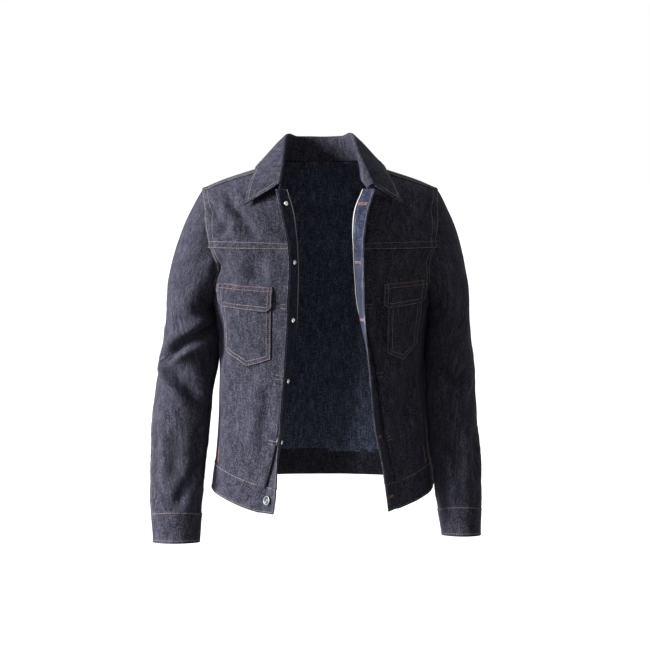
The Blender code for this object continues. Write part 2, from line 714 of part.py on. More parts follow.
def disc(name, cloth, point, normal, radius, height, rim):
    """A turned disc on the cloth, its edge rounded by rim."""
    bm = bmesh.new()
    bmesh.ops.create_cone(
        bm, cap_ends=True, segments=12, radius1=radius - rim, radius2=radius - rim, depth=height
    )
    middle = bmesh.ops.bisect_plane(
        bm, geom=bm.verts[:] + bm.edges[:] + bm.faces[:], plane_co=(0, 0, 0), plane_no=(0, 0, 1)
    )["geom_cut"]
    for vert in (item for item in middle if isinstance(item, bmesh.types.BMVert)):
        vert.co.xy *= radius / (radius - rim)
    centre = seat(cloth, point, normal, radius) + normal * (height / 2)
    turned = normal.to_track_quat("Z", "Y").to_matrix().to_4x4()
    bmesh.ops.transform(bm, verts=bm.verts, matrix=Matrix.Translation(centre) @ turned)
    return place(name, bm, material("nickel", NICKEL, 0.35, 1.0))


def button_pair(place_name, outer, inner, form, p, q):
    """A button on the outer cloth's face and the back of its rivet on the inner cloth's face."""
    point = off(form, p, q, 0.0)
    normal = (off(form, p, q, 0.001) - point).normalized()
    disc(f"button_{place_name}", outer, point, normal, BUTTON_RADIUS, BUTTON_HEIGHT, 0.0015)
    disc(f"rivet_{place_name}", inner, point, -normal, RIVET_RADIUS, RIVET_HEIGHT, 0.0006)


def front_buttons(yoke, strip, inside, band):
    """Five down the right front strip and one on the waistband, through the strip and its facing."""
    form = FRONTS["right"].form
    distance = STRIP_WIDTH - BUTTON_FROM_EDGE
    for i, z in enumerate(FRONT_BUTTONS, 1):
        button_pair(f"front_{i}", yoke if z > YOKE_SEAM else strip, inside, form, distance, z)
    button_pair("waist", band, band, form, STRIP_WIDTH - WAIST_BUTTON_FROM_EDGE, WAIST_SEAM - WAIST_HEIGHT / 2)


def cuff_button(side, band, arm):
    """On the cuff's lap."""
    middle = (arm.rows[-1].z + arm.rows[CUFF_ROW].z) / 2
    button_pair(f"cuff_{side}", band, band, arm.cuff_form, CUFF_START + CUFF_LAP / 2, middle)


# ---------------------------------------------------------------- the jacket
def main():
    for old in list(bpy.data.objects):
        bpy.data.objects.remove(old)
    back_panel("back_panel")
    back_yoke("back_yoke")
    made = {}
    for side, front in FRONTS.items():
        made["yoke", side] = front_yoke(f"front_yoke_{side}", front)
        made["strip", side] = placket(f"placket_{side}", front)
        made["facing", side] = facing(f"facing_{side}", front)
        front_panel(f"front_panel_{side}", front)
        pocket(f"pocket_{side}", front, POCKETS[side])
        flap(f"flap_{side}", front, FLAPS[side])
    band = waistband("waistband")
    collar("collar")
    for side, arm in ARMS.items():
        sleeve_half(f"sleeve_upper_{side}", arm, outer_seam, lambda down: INNER_SEAM, 8)
        sleeve_half(f"sleeve_under_{side}", arm, lambda down: INNER_SEAM, lambda down: 360 + outer_seam(down), 6)
        cuff_button(side, cuff(f"cuff_{side}", arm), arm)
    front_buttons(made["yoke", "right"], made["strip", "right"], made["facing", "right"], band)


main()
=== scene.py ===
"""A raw denim jacket, worn open and left hollow, on the frame of its CAD model.

Metres, +Z up, the front faces -Y and +X is the wearer's left. Right and left are the wearer's.
"""

import math
from collections import namedtuple

import bmesh
import bpy
import mathutils
import numpy as np
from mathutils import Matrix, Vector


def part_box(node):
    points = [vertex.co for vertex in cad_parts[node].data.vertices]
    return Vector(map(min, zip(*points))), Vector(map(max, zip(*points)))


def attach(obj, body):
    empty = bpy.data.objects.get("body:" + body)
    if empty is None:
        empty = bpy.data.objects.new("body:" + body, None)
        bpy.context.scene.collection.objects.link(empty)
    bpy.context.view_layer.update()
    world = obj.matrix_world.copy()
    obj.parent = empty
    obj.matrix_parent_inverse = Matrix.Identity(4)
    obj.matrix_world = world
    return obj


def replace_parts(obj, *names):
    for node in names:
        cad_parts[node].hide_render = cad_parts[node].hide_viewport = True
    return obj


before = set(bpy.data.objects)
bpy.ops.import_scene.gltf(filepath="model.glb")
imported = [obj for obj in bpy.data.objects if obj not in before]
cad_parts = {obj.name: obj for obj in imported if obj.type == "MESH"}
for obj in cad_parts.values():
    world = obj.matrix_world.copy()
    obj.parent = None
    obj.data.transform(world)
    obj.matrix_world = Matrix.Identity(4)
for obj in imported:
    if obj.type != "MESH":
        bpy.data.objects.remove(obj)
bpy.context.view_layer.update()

# ---------------------------------------------------------------- the back, below its yoke
# One wide piece of 1.2 mm raw denim, cut whole from side seam to side seam. Its top goes under the
# back yoke and, at the armholes, its edge is felled over the sleeve.
CLOTH = 0.0012
SQUARENESS = 2.4        # the body's rings lie between an ellipse (2) and a rectangle
YOKE_SEAM = -0.132
WAIST_SEAM = -0.513
CLOTH_END = WAIST_SEAM - 0.004      # under the waistband
SIDE_SEAM = 72.0
HEM_DROP = 0.033
LAP = 0.0013            # a sewn edge stands this far over the cloth that it covers

Ring = namedtuple("Ring", "z half front back centre")
BODY = [
    Ring(-0.132, 0.214, 0.117, 0.116, 0.006),
    Ring(-0.180, 0.200, 0.120, 0.119, 0.005),
    Ring(-0.235, 0.187, 0.121, 0.117, 0.002),
    Ring(-0.337, 0.177, 0.121, 0.108, 0.001),
    Ring(-0.420, 0.179, 0.124, 0.104, 0.002),
    Ring(-0.500, 0.186, 0.129, 0.107, 0.003),
    Ring(-0.560, 0.194, 0.134, 0.111, 0.004),
    Ring(-0.620, 0.199, 0.137, 0.113, 0.004),
]
FILL_ANGLE, FILL_WIDTH = 111.0, 13.0    # the back fills out behind the left arm, about this ring angle
Fill = namedtuple("Fill", "z out")
FILL = [
    Fill(-0.235, 0.0000), Fill(-0.243, 0.0080), Fill(-0.250, 0.0130), Fill(-0.262, 0.0165),
    Fill(-0.290, 0.0190), Fill(-0.337, 0.0192), Fill(-0.400, 0.0178), Fill(-0.440, 0.0180),
    Fill(-0.500, 0.0200), Fill(-0.560, 0.0150), Fill(-0.620, 0.0120),
]
Armhole = namedtuple("Armhole", "around angle z")
ARMHOLE = [
    Armhole(70, 62, -0.132), Armhole(95, 60, -0.156), Armhole(120, 65, -0.190),
    Armhole(142, 73, -0.214), Armhole(160, 81, -0.227), Armhole(180, 90, -0.231),
    Armhole(205, 101, -0.225), Armhole(228, 110, -0.207), Armhole(255, 116, -0.172),
    Armhole(290, 118, -0.132),
]


def hermite(t, start, leave, end, arrive):
    """A curve from start to end with the given slopes at both."""
    return (
        (2 * t**3 - 3 * t**2 + 1) * start + (t**3 - 2 * t**2 + t) * leave
        + (3 * t**2 - 2 * t**3) * end + (t**3 - t**2) * arrive
    )


def smooth(rows, key, column, at):
    """The column's values where the rows' key equals at, on a smooth curve through the rows."""
    keys, values = np.array(sorted((getattr(row, key), getattr(row, column)) for row in rows), float).T
    last = len(keys) - 1
    at = np.clip(at, keys[0], keys[-1])
    i = np.clip(np.searchsorted(keys, at, side="right") - 1, 0, last - 1)
    before, after = np.maximum(i - 1, 0), np.minimum(i + 2, last)
    gap = keys[i + 1] - keys[i]
    rise_0 = (values[i + 1] - values[before]) / (keys[i + 1] - keys[before]) * gap
    rise_1 = (values[after] - values[i]) / (keys[after] - keys[i]) * gap
    return hermite((at - keys[i]) / gap, values[i], rise_0, values[i + 1], rise_1)


def smooth_all(rows, key, columns, at):
    return (smooth(rows, key, column, at) for column in columns.split())


def ease(t):
    """0 to 1 with level ends."""
    t = np.clip(t, 0.0, 1.0)
    return t * t * (3 - 2 * t)


def near(away, width):
    """1 at an edge and 0 from this width on, where away is the distance from the edge."""
    return ease(1 - away / width)


def mix(a, b, t):
    return a + (b - a) * t


def bent(value):
    """A sine or cosine bent so that a ring drawn with it has the body's squareness."""
    return np.sign(value) * np.abs(value) ** (2 / SQUARENESS)


def points(x, y, z):
    return np.stack(np.broadcast_arrays(x, y, z), axis=-1)


def hem_drop(angle, z):
    """How much lower the cloth hangs here than at the side: nothing at the yoke, all of it at the hem."""
    share = ease((YOKE_SEAM - z) / (YOKE_SEAM - WAIST_SEAM))
    return HEM_DROP * np.maximum(np.cos(np.radians(angle)), 0.0) ** 2.5 * share


def hung_point(angle, z):
    """On the body's ring at height z; the angle in degrees is negative on the wearer's right."""
    half, front, back, centre = smooth_all(BODY, "z", "half front back centre", z)
    turn = np.radians(angle)
    depth = np.where(np.cos(turn) > 0, front, back)
    fill = smooth(FILL, "z", "out", z) * np.exp(-(((angle % 360.0 - FILL_ANGLE) / FILL_WIDTH) ** 2))
    return points(centre + half * bent(np.sin(turn)) + fill, -depth * bent(np.cos(turn)), z - hem_drop(angle, z))


# A form gives points for two coordinates. The steps are small changes of them that its normals are
# taken from, and facing is -1 where their cross product points into the garment.
Form = namedtuple("Form", "at p_step q_step facing")
RING = Form(hung_point, 0.3, 0.001, 1)


def face(form, p, q):
    """The form's points and outward normals at p and q."""
    across = form.at(p + form.p_step, q) - form.at(p - form.p_step, q)
    along = form.at(p, q + form.q_step) - form.at(p, q - form.q_step)
    normals = np.cross(across, along)
    return form.at(p, q), normals * (form.facing / np.linalg.norm(normals, axis=-1, keepdims=True))


def either(test, first, second):
    """The first form's points and normals where the test holds and the second's elsewhere."""
    return tuple(np.where(test[..., None], a, b) for a, b in zip(first, second))


def cloudy(x, y, size, seed):
    """Smooth random heights from -1 to 1 that change over about size metres."""
    lattice = np.random.default_rng(seed).uniform(-1, 1, (64, 64))
    x, y = np.asarray(x) / size + 32, np.asarray(y) / size + 32
    i, j = np.floor(x).astype(int), np.floor(y).astype(int)
    s, t = ease(x - i), ease(y - j)
    corner = [[lattice[(i + a) % 64, (j + b) % 64] for b in (0, 1)] for a in (0, 1)]
    return mix(mix(corner[0][0], corner[1][0], s), mix(corner[0][1], corner[1][1], s), t)


# A crease runs between two places, given in metres across and up. It is a soft trough where depth is
# negative, with a low ridge on each side; lean makes one side steeper, bow bends its line and flare
# is how many times wider it is at its end.
Crease = namedtuple("Crease", "x z to_x to_z width depth lean bow flare", defaults=(1.0,))


def creased(x, z, creases):
    out = np.zeros(np.broadcast(x, z).shape)
    for c in creases:
        run_x, run_z = c.to_x - c.x, c.to_z - c.z
        length = math.hypot(run_x, run_z)
        t = ((x - c.x) * run_x + (z - c.z) * run_z) / length**2
        width = c.width * mix(1.0, c.flare, np.clip(t, 0, 1))
        s = (((x - c.x) * run_z - (z - c.z) * run_x) / length - c.bow * 4 * t * (1 - t)) / width
        fade = ease(t / 0.3) * ease((1 - t) / 0.3)
        hat = np.exp(-s * s) * (1 + c.lean * s) - 0.35 * np.exp(-((np.abs(s) - 1.9) ** 2))
        out += c.depth * fade * hat
    return out


FRONT_CREASES = [
    # the wearer's right yoke and front, from the armhole and the collar down
    Crease(-0.187, -0.055, -0.150, -0.118, 0.011, -0.0036, 0.4, 0.004),
    Crease(-0.165, -0.040, -0.128, -0.100, 0.009, -0.0030, -0.3, -0.004),
    Crease(-0.130, -0.060, -0.105, -0.125, 0.012, -0.0024, 0.2, 0.003),
    Crease(-0.180, -0.110, -0.140, -0.075, 0.008, -0.0022, 0.3, 0.002),
    Crease(-0.175, -0.150, -0.135, -0.200, 0.014, -0.0034, 0.3, 0.005),
    Crease(-0.110, -0.140, -0.100, -0.205, 0.015, -0.0026, -0.3, 0.003),
    Crease(-0.172, -0.235, -0.168, -0.345, 0.011, -0.0030, 0.5, 0.003),
    Crease(-0.150, -0.335, -0.162, -0.470, 0.016, -0.0034, 0.3, -0.005),
    Crease(-0.118, -0.330, -0.132, -0.480, 0.018, -0.0030, -0.3, 0.006),
    Crease(-0.086, -0.350, -0.098, -0.500, 0.013, -0.0026, 0.4, -0.003),
    Crease(-0.168, -0.425, -0.120, -0.470, 0.010, -0.0018, 0.2, 0.003),
    # the wearer's left yoke and front
    Crease(0.192, -0.050, 0.160, -0.115, 0.012, -0.0034, 0.3, -0.004),
    Crease(0.160, -0.045, 0.135, -0.110, 0.010, -0.0026, -0.3, 0.003),
    Crease(0.180, -0.140, 0.150, -0.195, 0.013, -0.0032, 0.3, -0.004),
    Crease(0.125, -0.145, 0.120, -0.200, 0.014, -0.0022, 0.2, 0.003),
    Crease(0.104, -0.215, 0.108, -0.330, 0.011, -0.0030, 0.5, 0.002),
    Crease(0.172, -0.320, 0.158, -0.450, 0.015, -0.0032, 0.3, 0.004),
    Crease(0.140, -0.330, 0.148, -0.480, 0.017, -0.0028, -0.3, -0.005),
    Crease(0.170, -0.395, 0.135, -0.440, 0.010, -0.0018, 0.2, 0.003),
]
BACK_CREASES = [
    Crease(-0.185, -0.070, -0.120, -0.105, 0.014, -0.0034, 0.3, 0.004),
    Crease(0.185, -0.070, 0.118, -0.100, 0.014, -0.0034, -0.3, -0.004),
    Crease(-0.060, -0.055, 0.062, -0.062, 0.013, -0.0022, 0.3, 0.006),
    Crease(-0.178, -0.170, -0.135, -0.260, 0.016, -0.0044, 0.4, 0.006),
    Crease(0.176, -0.165, 0.130, -0.255, 0.016, -0.0044, -0.4, -0.006),
    Crease(-0.150, -0.200, -0.100, -0.330, 0.015, -0.0034, 0.3, 0.005),
    Crease(0.152, -0.205, 0.098, -0.340, 0.015, -0.0034, -0.3, -0.005),
    Crease(-0.070, -0.180, -0.078, -0.330, 0.018, -0.0028, 0.2, 0.005),
    Crease(0.066, -0.175, 0.070, -0.320, 0.018, -0.0028, -0.2, -0.005),
    Crease(-0.120, -0.330, -0.112, -0.490, 0.018, -0.0040, 0.3, 0.006),
    Crease(0.118, -0.340, 0.108, -0.490, 0.018, -0.0040, -0.3, -0.006),
    Crease(-0.040, -0.350, -0.048, -0.495, 0.017, -0.0034, 0.3, 0.005),
    Crease(0.036, -0.345, 0.044, -0.495, 0.017, -0.0034, -0.3, 0.005),
    Crease(-0.165, -0.390, -0.155, -0.490, 0.013, -0.0030, 0.3, 0.003),
    Crease(0.165, -0.385, 0.158, -0.490, 0.013, -0.0030, 0.3, 0.003),
]


def drape(at):
    """How far the body's cloth stands out at places on its form: its creases and broad unevenness."""
    x, y, z = np.moveaxis(at, -1, 0)
    out = np.where(y < 0, 2.15 * creased(x, z, FRONT_CREASES), 1.4 * creased(x, z, BACK_CREASES))
    out += 0.0018 * cloudy(x, z + y, 0.070, 3) + 0.0009 * cloudy(x, z, 0.028, 4)
    side = ease(np.abs(y) / 0.05)
    stiff = mix(0.35, 1.0, ease((z - WAIST_SEAM + 0.03) / 0.06)) * mix(0.35, 1.0, ease((0.0 - z) / 0.04))
    return out * side * stiff


def piece(name, mesh, slot, *finishes):
    """An object of the mesh in its finishes, on the jacket's one body."""
    mesh.shade_smooth()
    for finish in finishes:
        mesh.materials.append(finish)
    made = bpy.data.objects.new(name, mesh)
    bpy.context.collection.objects.link(made)
    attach(made, "root")
    return made


class Cloth:
    """A piece of cloth on the form that where(u, v) gives; u and v run from 0 to 1 over its cut.

    flat is the cut in metres, lift how far the cloth stands out, and seams the sewn edges, which are
    puckered: left and right are the ends of u, bottom and top those of v.
    """

    def __init__(self, name, where, flat, lift, seams="", layer=CLOTH, pucker=0.00035):
        self.name, self.where, self.flat, self.lift, self.layer = name, where, flat, lift, layer
        self.seams, self.pucker = seams.split(), pucker
        self.seed = sum(name.encode())

    def to_edge(self, edge, u, v):
        """Metres to an edge and metres along it."""
        width, length = self.flat
        u, v = u * width, v * length
        return {"left": (u, v), "right": (width - u, v), "bottom": (v, u), "top": (length - v, u)}[edge]

    def at(self, u, v, out=0.0):
        """The outer face's points at u and v, moved out by out, and the form's normals there."""
        base, normals = self.where(u, v)
        height = out + self.lift(u, v, base)
        for number, edge in enumerate(self.seams):
            away, along = self.to_edge(edge, u, v)
            height = height + self.pucker * ease(1.2 - away / 0.020) * (
                cloudy(along, away * 0.35, 0.0075, self.seed + number) + 0.6 * cloudy(along, away, 0.019, self.seed + 9)
            )
        return base + normals * np.asarray(height)[..., None], normals

    def walked_over(self, u, v, parts=60):
        """Metres across the cloth from its middle and up it, so that a pattern keeps its size."""
        steps = np.linspace(0, 1, parts + 1)
        grid, _ = self.at(*np.meshgrid(steps, steps, indexing="ij"))
        i, j = (np.minimum(along * parts, parts - 0.01).astype(int) for along in (u, v))
        s, t = u * parts - i, v * parts - j
        found = []
        for axis, middle in ((0, parts // 2), (1, 0)):
            stride = np.linalg.norm(np.diff(grid, axis=axis, prepend=np.take(grid, [0], axis)), axis=-1)
            walk = np.cumsum(stride, axis=axis)
            walk = walk - np.take(walk, [middle], axis)
            found.append(mix(mix(walk[i, j], walk[i + 1, j], s), mix(walk[i, j + 1], walk[i + 1, j + 1], s), t))
        return np.stack(found, axis=-1)

    def make(self, replaced, face_finish, back_finish=None, cell=0.0035, hole=None, rounded=0.0):
        """Makes the mesh, a flat grid over the cut put in its place with its thickness inwards."""
        bm = bmesh.new()
        columns, rows = (max(3, round(size / cell)) for size in self.flat)
        bmesh.ops.create_grid(bm, x_segments=columns, y_segments=rows, size=0.5)
        bmesh.ops.translate(bm, verts=bm.verts, vec=(0.5, 0.5, 0.0))
        if hole:
            middles = [(part, part.calc_center_median()) for part in bm.faces]
            bmesh.ops.delete(bm, geom=[part for part, m in middles if hole(m.x, m.y)], context="FACES")
        mesh = bpy.data.meshes.new(self.name)
        bm.to_mesh(mesh)
        bm.free()
        square = np.empty(len(mesh.vertices) * 3)
        mesh.vertices.foreach_get("co", square)
        u, v = np.clip(square.reshape(-1, 3)[:, :2].T, 0.0, 1.0)
        corners = np.empty(len(mesh.loops), int)
        mesh.loops.foreach_get("vertex_index", corners)
        cut = mesh.uv_layers.new(name="cut")
        cut.data.foreach_set("uv", self.walked_over(u, v)[corners].ravel())
        worn = np.zeros(len(u))
        for edge in self.seams:
            away, _ = self.to_edge(edge, u, v)
            worn = np.maximum(worn, np.exp(-(away / 0.006) ** 2))
        mesh.attributes.new("seam", "FLOAT", "POINT").data.foreach_set("value", worn)
        placed, normals = self.at(u, v)
        mesh.vertices.foreach_set("co", placed.ravel())
        mesh.update()
        facing = np.empty(len(mesh.vertices) * 3)
        mesh.vertices.foreach_get("normal", facing)
        if np.sum(facing.reshape(-1, 3) * normals) < 0:
            mesh.flip_normals()
        self.object = piece(self.name, mesh, "denim", face_finish, back_finish or face_finish)
        wall = self.object.modifiers.new("thickness", "SOLIDIFY")
        wall.thickness, wall.offset, wall.material_offset = self.layer, -1.0, 1
        if rounded:
            edge = self.object.modifiers.new("folded edge", "BEVEL")
            edge.width, edge.segments, edge.limit_method, edge.angle_limit = rounded, 2, "ANGLE", math.radians(60)
        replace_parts(self.object, replaced)

    def row(self, edge, inset, start=0.0, end=0.0):
        """A line beside an edge, from start to end metres short of the edge's ends."""
        width, length = self.flat
        if edge in ("left", "right"):
            u = inset if edge == "left" else width - inset
            return self, [(u, start), (u, length - end)]
        v = inset if edge == "bottom" else length - inset
        return self, [(start, v), (width - end, v)]

    def rows(self, edge, insets, *ends):
        return [self.row(edge, inset, *ends) for inset in insets]

    def top_ends(self, insets, corner, share):
        """Rows beside the top edge at both its ends, each from corner metres in to this share of the edge
        short of the other end."""
        far = self.flat[0] * share
        return [self.row("top", inset, *ends) for inset in insets for ends in ((corner, far), (far, corner))]

    def line(self, *corners):
        """A line through corners in metres of the cut; a negative one is measured from the far edge."""
        width, length = self.flat
        return self, [(u + width * (u < 0), v + length * (v < 0)) for u, v in corners]


def linear(colour):
    """A shader colour from an sRGB hex value."""
    parts = [int(colour[i:i + 2], 16) / 255 for i in (1, 3, 5)]
    return [c / 12.92 if c <= 0.04045 else ((c + 0.055) / 1.055) ** 2.4 for c in parts] + [1.0]


def node(material, kind, settings, **links):
    """Adds a node; a link's name is the socket's, with _ for a blank, or its number after a letter n."""
    made = material.node_tree.nodes.new("ShaderNode" + kind)
    for name, value in settings.items():
        if isinstance(name, str) and hasattr(made, name):
            setattr(made, name, value)
        else:
            made.inputs[name].default_value = value
    for name, source in links.items():
        socket = made.inputs[int(name[1:])] if name[1:].isdigit() else made.inputs[name.replace("_", " ")]
        material.node_tree.links.new(socket, source)
    return made


def new_finish(name, **inputs):
    """A material with its shader's inputs set; a blank in an input's name is written _."""
    made = bpy.data.materials.new(name)
    made.use_nodes = True
    for socket, value in inputs.items():
        made.node_tree.nodes["Principled BSDF"].inputs[socket.replace("_", " ")].default_value = value
    return made


def feed(material, **sources):
    """Links sources to the shader's inputs."""
    shader = material.node_tree.nodes["Principled BSDF"]
    for socket, source in sources.items():
        material.node_tree.links.new(shader.inputs[socket.replace("_", " ")], source)


def ramp(material, value, *stops):
    """The colour at a value, between stops of position and colour."""
    made = node(material, "ValToRGB", {}, Fac=value)
    elements = made.color_ramp.elements
    for i, (position, colour) in enumerate((stops[0], stops[-1])):
        elements[i].position, elements[i].color = position, linear(colour)
    for position, colour in stops[1:-1]:
        elements.new(position).color = linear(colour)
    return made.outputs["Color"]


def denim(name, warp, slub, nep, weft_light):
    """Ring-spun denim, 3 by 1 right-hand twill. Indigo warp yarns of uneven thickness make streaks along
    the cloth, 1 to 3 mm across, and white weft shows between them as fine light specks. The real ribs,
    0.6 mm apart, are drawn at 1.9 mm so that they show. Matt, with the faint bloom of loose fibre."""
    made = new_finish(
        name, Roughness=0.88, Specular_IOR_Level=0.06, Sheen_Weight=0.05, Sheen_Roughness=0.5,
        Sheen_Tint=linear("#9aa4c8"),
    )
    cut = node(made, "UVMap", {"uv_map": "cut"}).outputs["UV"]

    def noise(across, along, detail):
        place = node(made, "Mapping", {"Scale": (across, along, 1)}, Vector=cut).outputs[0]
        return node(made, "TexNoise", {"Scale": 1.0, "Detail": detail, "Roughness": 0.6}, Vector=place).outputs["Fac"]

    streak, filling, patch = noise(640, 42, 3.0), noise(70, 760, 2.0), noise(90, 36, 4.0)
    fleck = node(made, "TexNoise", {"Scale": 620.0, "Detail": 2.0, "Roughness": 0.7}, Vector=cut).outputs["Fac"]
    crossings = node(made, "Mapping", {"Scale": (760, 540, 1)}, Vector=cut).outputs[0]
    crossing = node(made, "VectorMath", {"operation": "FLOOR"}, n0=crossings).outputs[0]
    yarn = node(made, "TexWhiteNoise", {"noise_dimensions": "2D"}, Vector=crossing).outputs["Value"]
    rib_line = node(made, "Mapping", {"Rotation": (0, 0, math.radians(-63))}, Vector=cut).outputs[0]
    ribs = {"wave_type": "BANDS", "bands_direction": "X", "Scale": 165.0, "Distortion": 1.6, "Detail": 1.0,
            "Detail Scale": 2.0}
    rib = node(made, "TexWave", ribs, Vector=rib_line).outputs["Fac"]
    # the yarn's lightness, the sum of its unevenness along, across and in patches, and of wear at seams
    light = fleck
    seam = node(made, "Attribute", {"attribute_name": "seam"}).outputs["Fac"]
    rubbed = node(made, "Math", {"operation": "MULTIPLY"}, n0=seam, n1=patch).outputs[0]
    for part, share in ((streak, 0.80), (filling, 0.60), (rib, 0.24), (patch, 0.55), (yarn, 0.36), (rubbed, 0.14)):
        light = node(made, "Math", {"operation": "MULTIPLY_ADD", 1: share}, n0=part, n2=light).outputs[0]
    shade = node(made, "MapRange", {"From Min": 1.42, "From Max": 2.08}, Value=light).outputs[0]
    height = node(made, "Math", {"operation": "MULTIPLY_ADD", 1: 0.5}, n0=rib, n2=light).outputs[0]
    bump = node(made, "Bump", {"Strength": 0.45, "Distance": 0.0006}, Height=height).outputs[0]
    feed(made, Base_Color=ramp(made, shade, (0.0, warp), (0.38, slub), (0.62, nep), (1.0, weft_light)), Normal=bump)
    return made


FACE = denim("indigo denim, face side", "#06060a", "#0f0f16", "#1b1b24", "#34333a")
WRONG_SIDE = denim("indigo denim, wrong side", "#13161d", "#20242f", "#333847", "#565b6c")
UNWORN = denim("indigo denim, face side kept from the light", "#06070c", "#0c0e17", "#161927", "#2d3140")

BACK_COLUMNS = np.array([SIDE_SEAM - 2.0, 80, 90, 101, 110, 116, 118, 138, 159, 180])


def back_angle(u):
    """The ring angle from the nearer side seam to the middle of the back."""
    return np.interp(1 - np.abs(2 * u - 1), np.linspace(0, 1, len(BACK_COLUMNS)), BACK_COLUMNS)


def back_where(u, v):
    angle = back_angle(u)
    top = np.where(angle >= ARMHOLE[-1].angle, YOKE_SEAM, smooth(ARMHOLE[3:], "angle", "z", angle))
    return face(RING, np.where(u < 0.5, angle, 360 - angle), mix(CLOTH_END, top, v))


def back_lift(u, v, base):
    """Proud along the armhole, and sunk where the front, the back yoke and the waistband lie over it."""
    half_width, side_length, length = 0.27, 0.30, 0.37
    angle = back_angle(u)
    under_front = near((1 - np.abs(2 * u - 1)) * half_width, 0.012)
    armhole = ease((118 - angle) / 6) * near((1 - v) * side_length, 0.012)
    under_yoke = ease((angle - 114) / 6) * near((1 - v) * length, 0.008)
    waist = near(v * length, 0.008)
    return drape(base) - 0.0015 * under_front + 0.0009 * armhole - 0.0008 * under_yoke - 0.0006 * waist


back_panel = Cloth("back_cloth", back_where, (0.540, 0.375), back_lift, "left right bottom top")
back_panel.make("back_panel", FACE, WRONG_SIDE)

# ---------------------------------------------------------------- the fronts, below the yokes
# Two pieces of the same denim, from the side seam to the pleat beside each front strip. The pleat's
# fold lies on the strip and its other edge is felled over the back at the side.
SHOULDER_Y = 0.010
TIP_X = 0.204
BEND_LENGTH = 0.010     # cloth taken up by the roll of an open front's edge
STRIP_WIDTH = 0.032     # from the roll line to the front edge
PLEAT_LIFT = 0.0024
PLEAT_EASE = 0.030
NECK_FRONT_Z = -0.036

Shoulder = namedtuple("Shoulder", "x z")
SHOULDER = [Shoulder(0.000, 0.032), Shoulder(0.075, 0.010), Shoulder(0.100, 0.001),
            Shoulder(0.170, -0.022), Shoulder(0.212, -0.041)]
Roll = namedtuple("Roll", "z x angle")
ROLLS = {
    "right": [
        Roll(-0.030, 0.0655, 120), Roll(-0.075, 0.054, 136), Roll(-0.132, 0.050, 122), Roll(-0.205, 0.047, 125),
        Roll(-0.250, 0.046, 129), Roll(-0.320, 0.054, 115), Roll(-0.416, 0.069, 97), Roll(-0.500, 0.0895, 58),
        Roll(-0.560, 0.1095, 15),
    ],
    "left": [
        Roll(-0.030, 0.0790, 125), Roll(-0.075, 0.060, 145), Roll(-0.132, 0.057, 126), Roll(-0.205, 0.064, 112),
        Roll(-0.250, 0.073, 98), Roll(-0.320, 0.091, 68), Roll(-0.416, 0.104, 54), Roll(-0.500, 0.122, 39),
        Roll(-0.585, 0.133, 33),
    ],
}


def ring_angle(x, z):
    """The front ring angle at the distance x from the ring's middle."""
    share = np.clip(x / smooth(BODY, "z", "half", z), -1, 1)
    return np.degrees(np.arcsin(np.sign(share) * np.abs(share) ** (SQUARENESS / 2)))


def shoulder_point(side, x, arch):
    """On the arch over a shoulder: 0 is the yoke seam in front, 90 the shoulder line, 180 the back."""
    arch = np.clip(arch, 0.0, 180.0)
    half, front, back, centre = smooth_all(BODY, "z", "half front back centre", YOKE_SEAM)
    narrow = (1 - np.minimum(np.abs(x) / half, 1.0) ** SQUARENESS) ** (1 / SQUARENESS)
    seam_y = np.where(arch < 90, -front * narrow, back * narrow)
    turn = np.radians(arch)
    rise = np.abs(bent(np.sin(turn)))
    return points(
        side * x + centre * (1 - rise),
        mix(SHOULDER_Y, seam_y, np.abs(bent(np.cos(turn)))),
        mix(YOKE_SEAM, smooth(SHOULDER, "x", "z", np.abs(x)), rise),
    )


def arch_at(x, z):
    """The arch angle in front where the arch at x has the height z."""
    share = (z - YOKE_SEAM) / (smooth(SHOULDER, "x", "z", x) - YOKE_SEAM)
    return np.degrees(np.arcsin(np.clip(share, 0.0, 1.0) ** (SQUARENESS / 2)))


def armhole_x(arch):
    """Where the yokes end at the armhole."""
    seam_angle = np.where(arch < 90, ARMHOLE[0].angle, ARMHOLE[-1].angle)
    seam_x = smooth(BODY, "z", "half", YOKE_SEAM) * bent(np.sin(np.radians(seam_angle)))
    return mix(seam_x, TIP_X, np.sin(np.radians(arch)))


class Front:
    """The form of one open front: out to the side, and rolled outwards at its edge."""

    def __init__(self, side, roll):
        self.side, self.roll = side, roll
        self.form = Form(self.strip, 0.0005, 0.001, -side)
        self.shoulder = Form(lambda x, arch: shoulder_point(side, x, arch), 0.001, 0.3, side)

    def roll_x(self, z):
        return smooth(self.roll, "z", "x", z)

    def chest(self, x, z):
        """At the distance x from the middle and the height z, above or below the yoke seam."""
        above = shoulder_point(self.side, x, arch_at(x, z))
        below = hung_point(self.side * ring_angle(x, z), z)
        return np.where((z > YOKE_SEAM)[..., None], above, below)

    def strip(self, distance, z):
        """This far beyond the roll line, towards the front edge; behind it where distance is negative."""
        distance, z = np.broadcast_arrays(np.asarray(distance, float), np.asarray(z, float))
        x = self.roll_x(z)
        origin = self.chest(x - np.minimum(distance, 0.0), z)
        inward = (self.chest(x - 0.004, z) - self.chest(x, z)) * (1, 1, 0)
        inward /= np.linalg.norm(inward, axis=-1, keepdims=True)
        outward = np.stack([-self.side * inward[..., 1], self.side * inward[..., 0], 0 * x], axis=-1)
        turn = np.radians(smooth(self.roll, "z", "angle", z))
        beyond = np.maximum(distance, 0.0)
        share = np.minimum(beyond / BEND_LENGTH, 1.0)
        straight = np.maximum(beyond - BEND_LENGTH, 0.0)
        reach = BEND_LENGTH / turn * np.sin(turn * share) + straight * np.cos(turn)
        rise = BEND_LENGTH / turn * (1 - np.cos(turn * share)) + straight * np.sin(turn)
        return origin + inward * reach[..., None] + outward * rise[..., None]


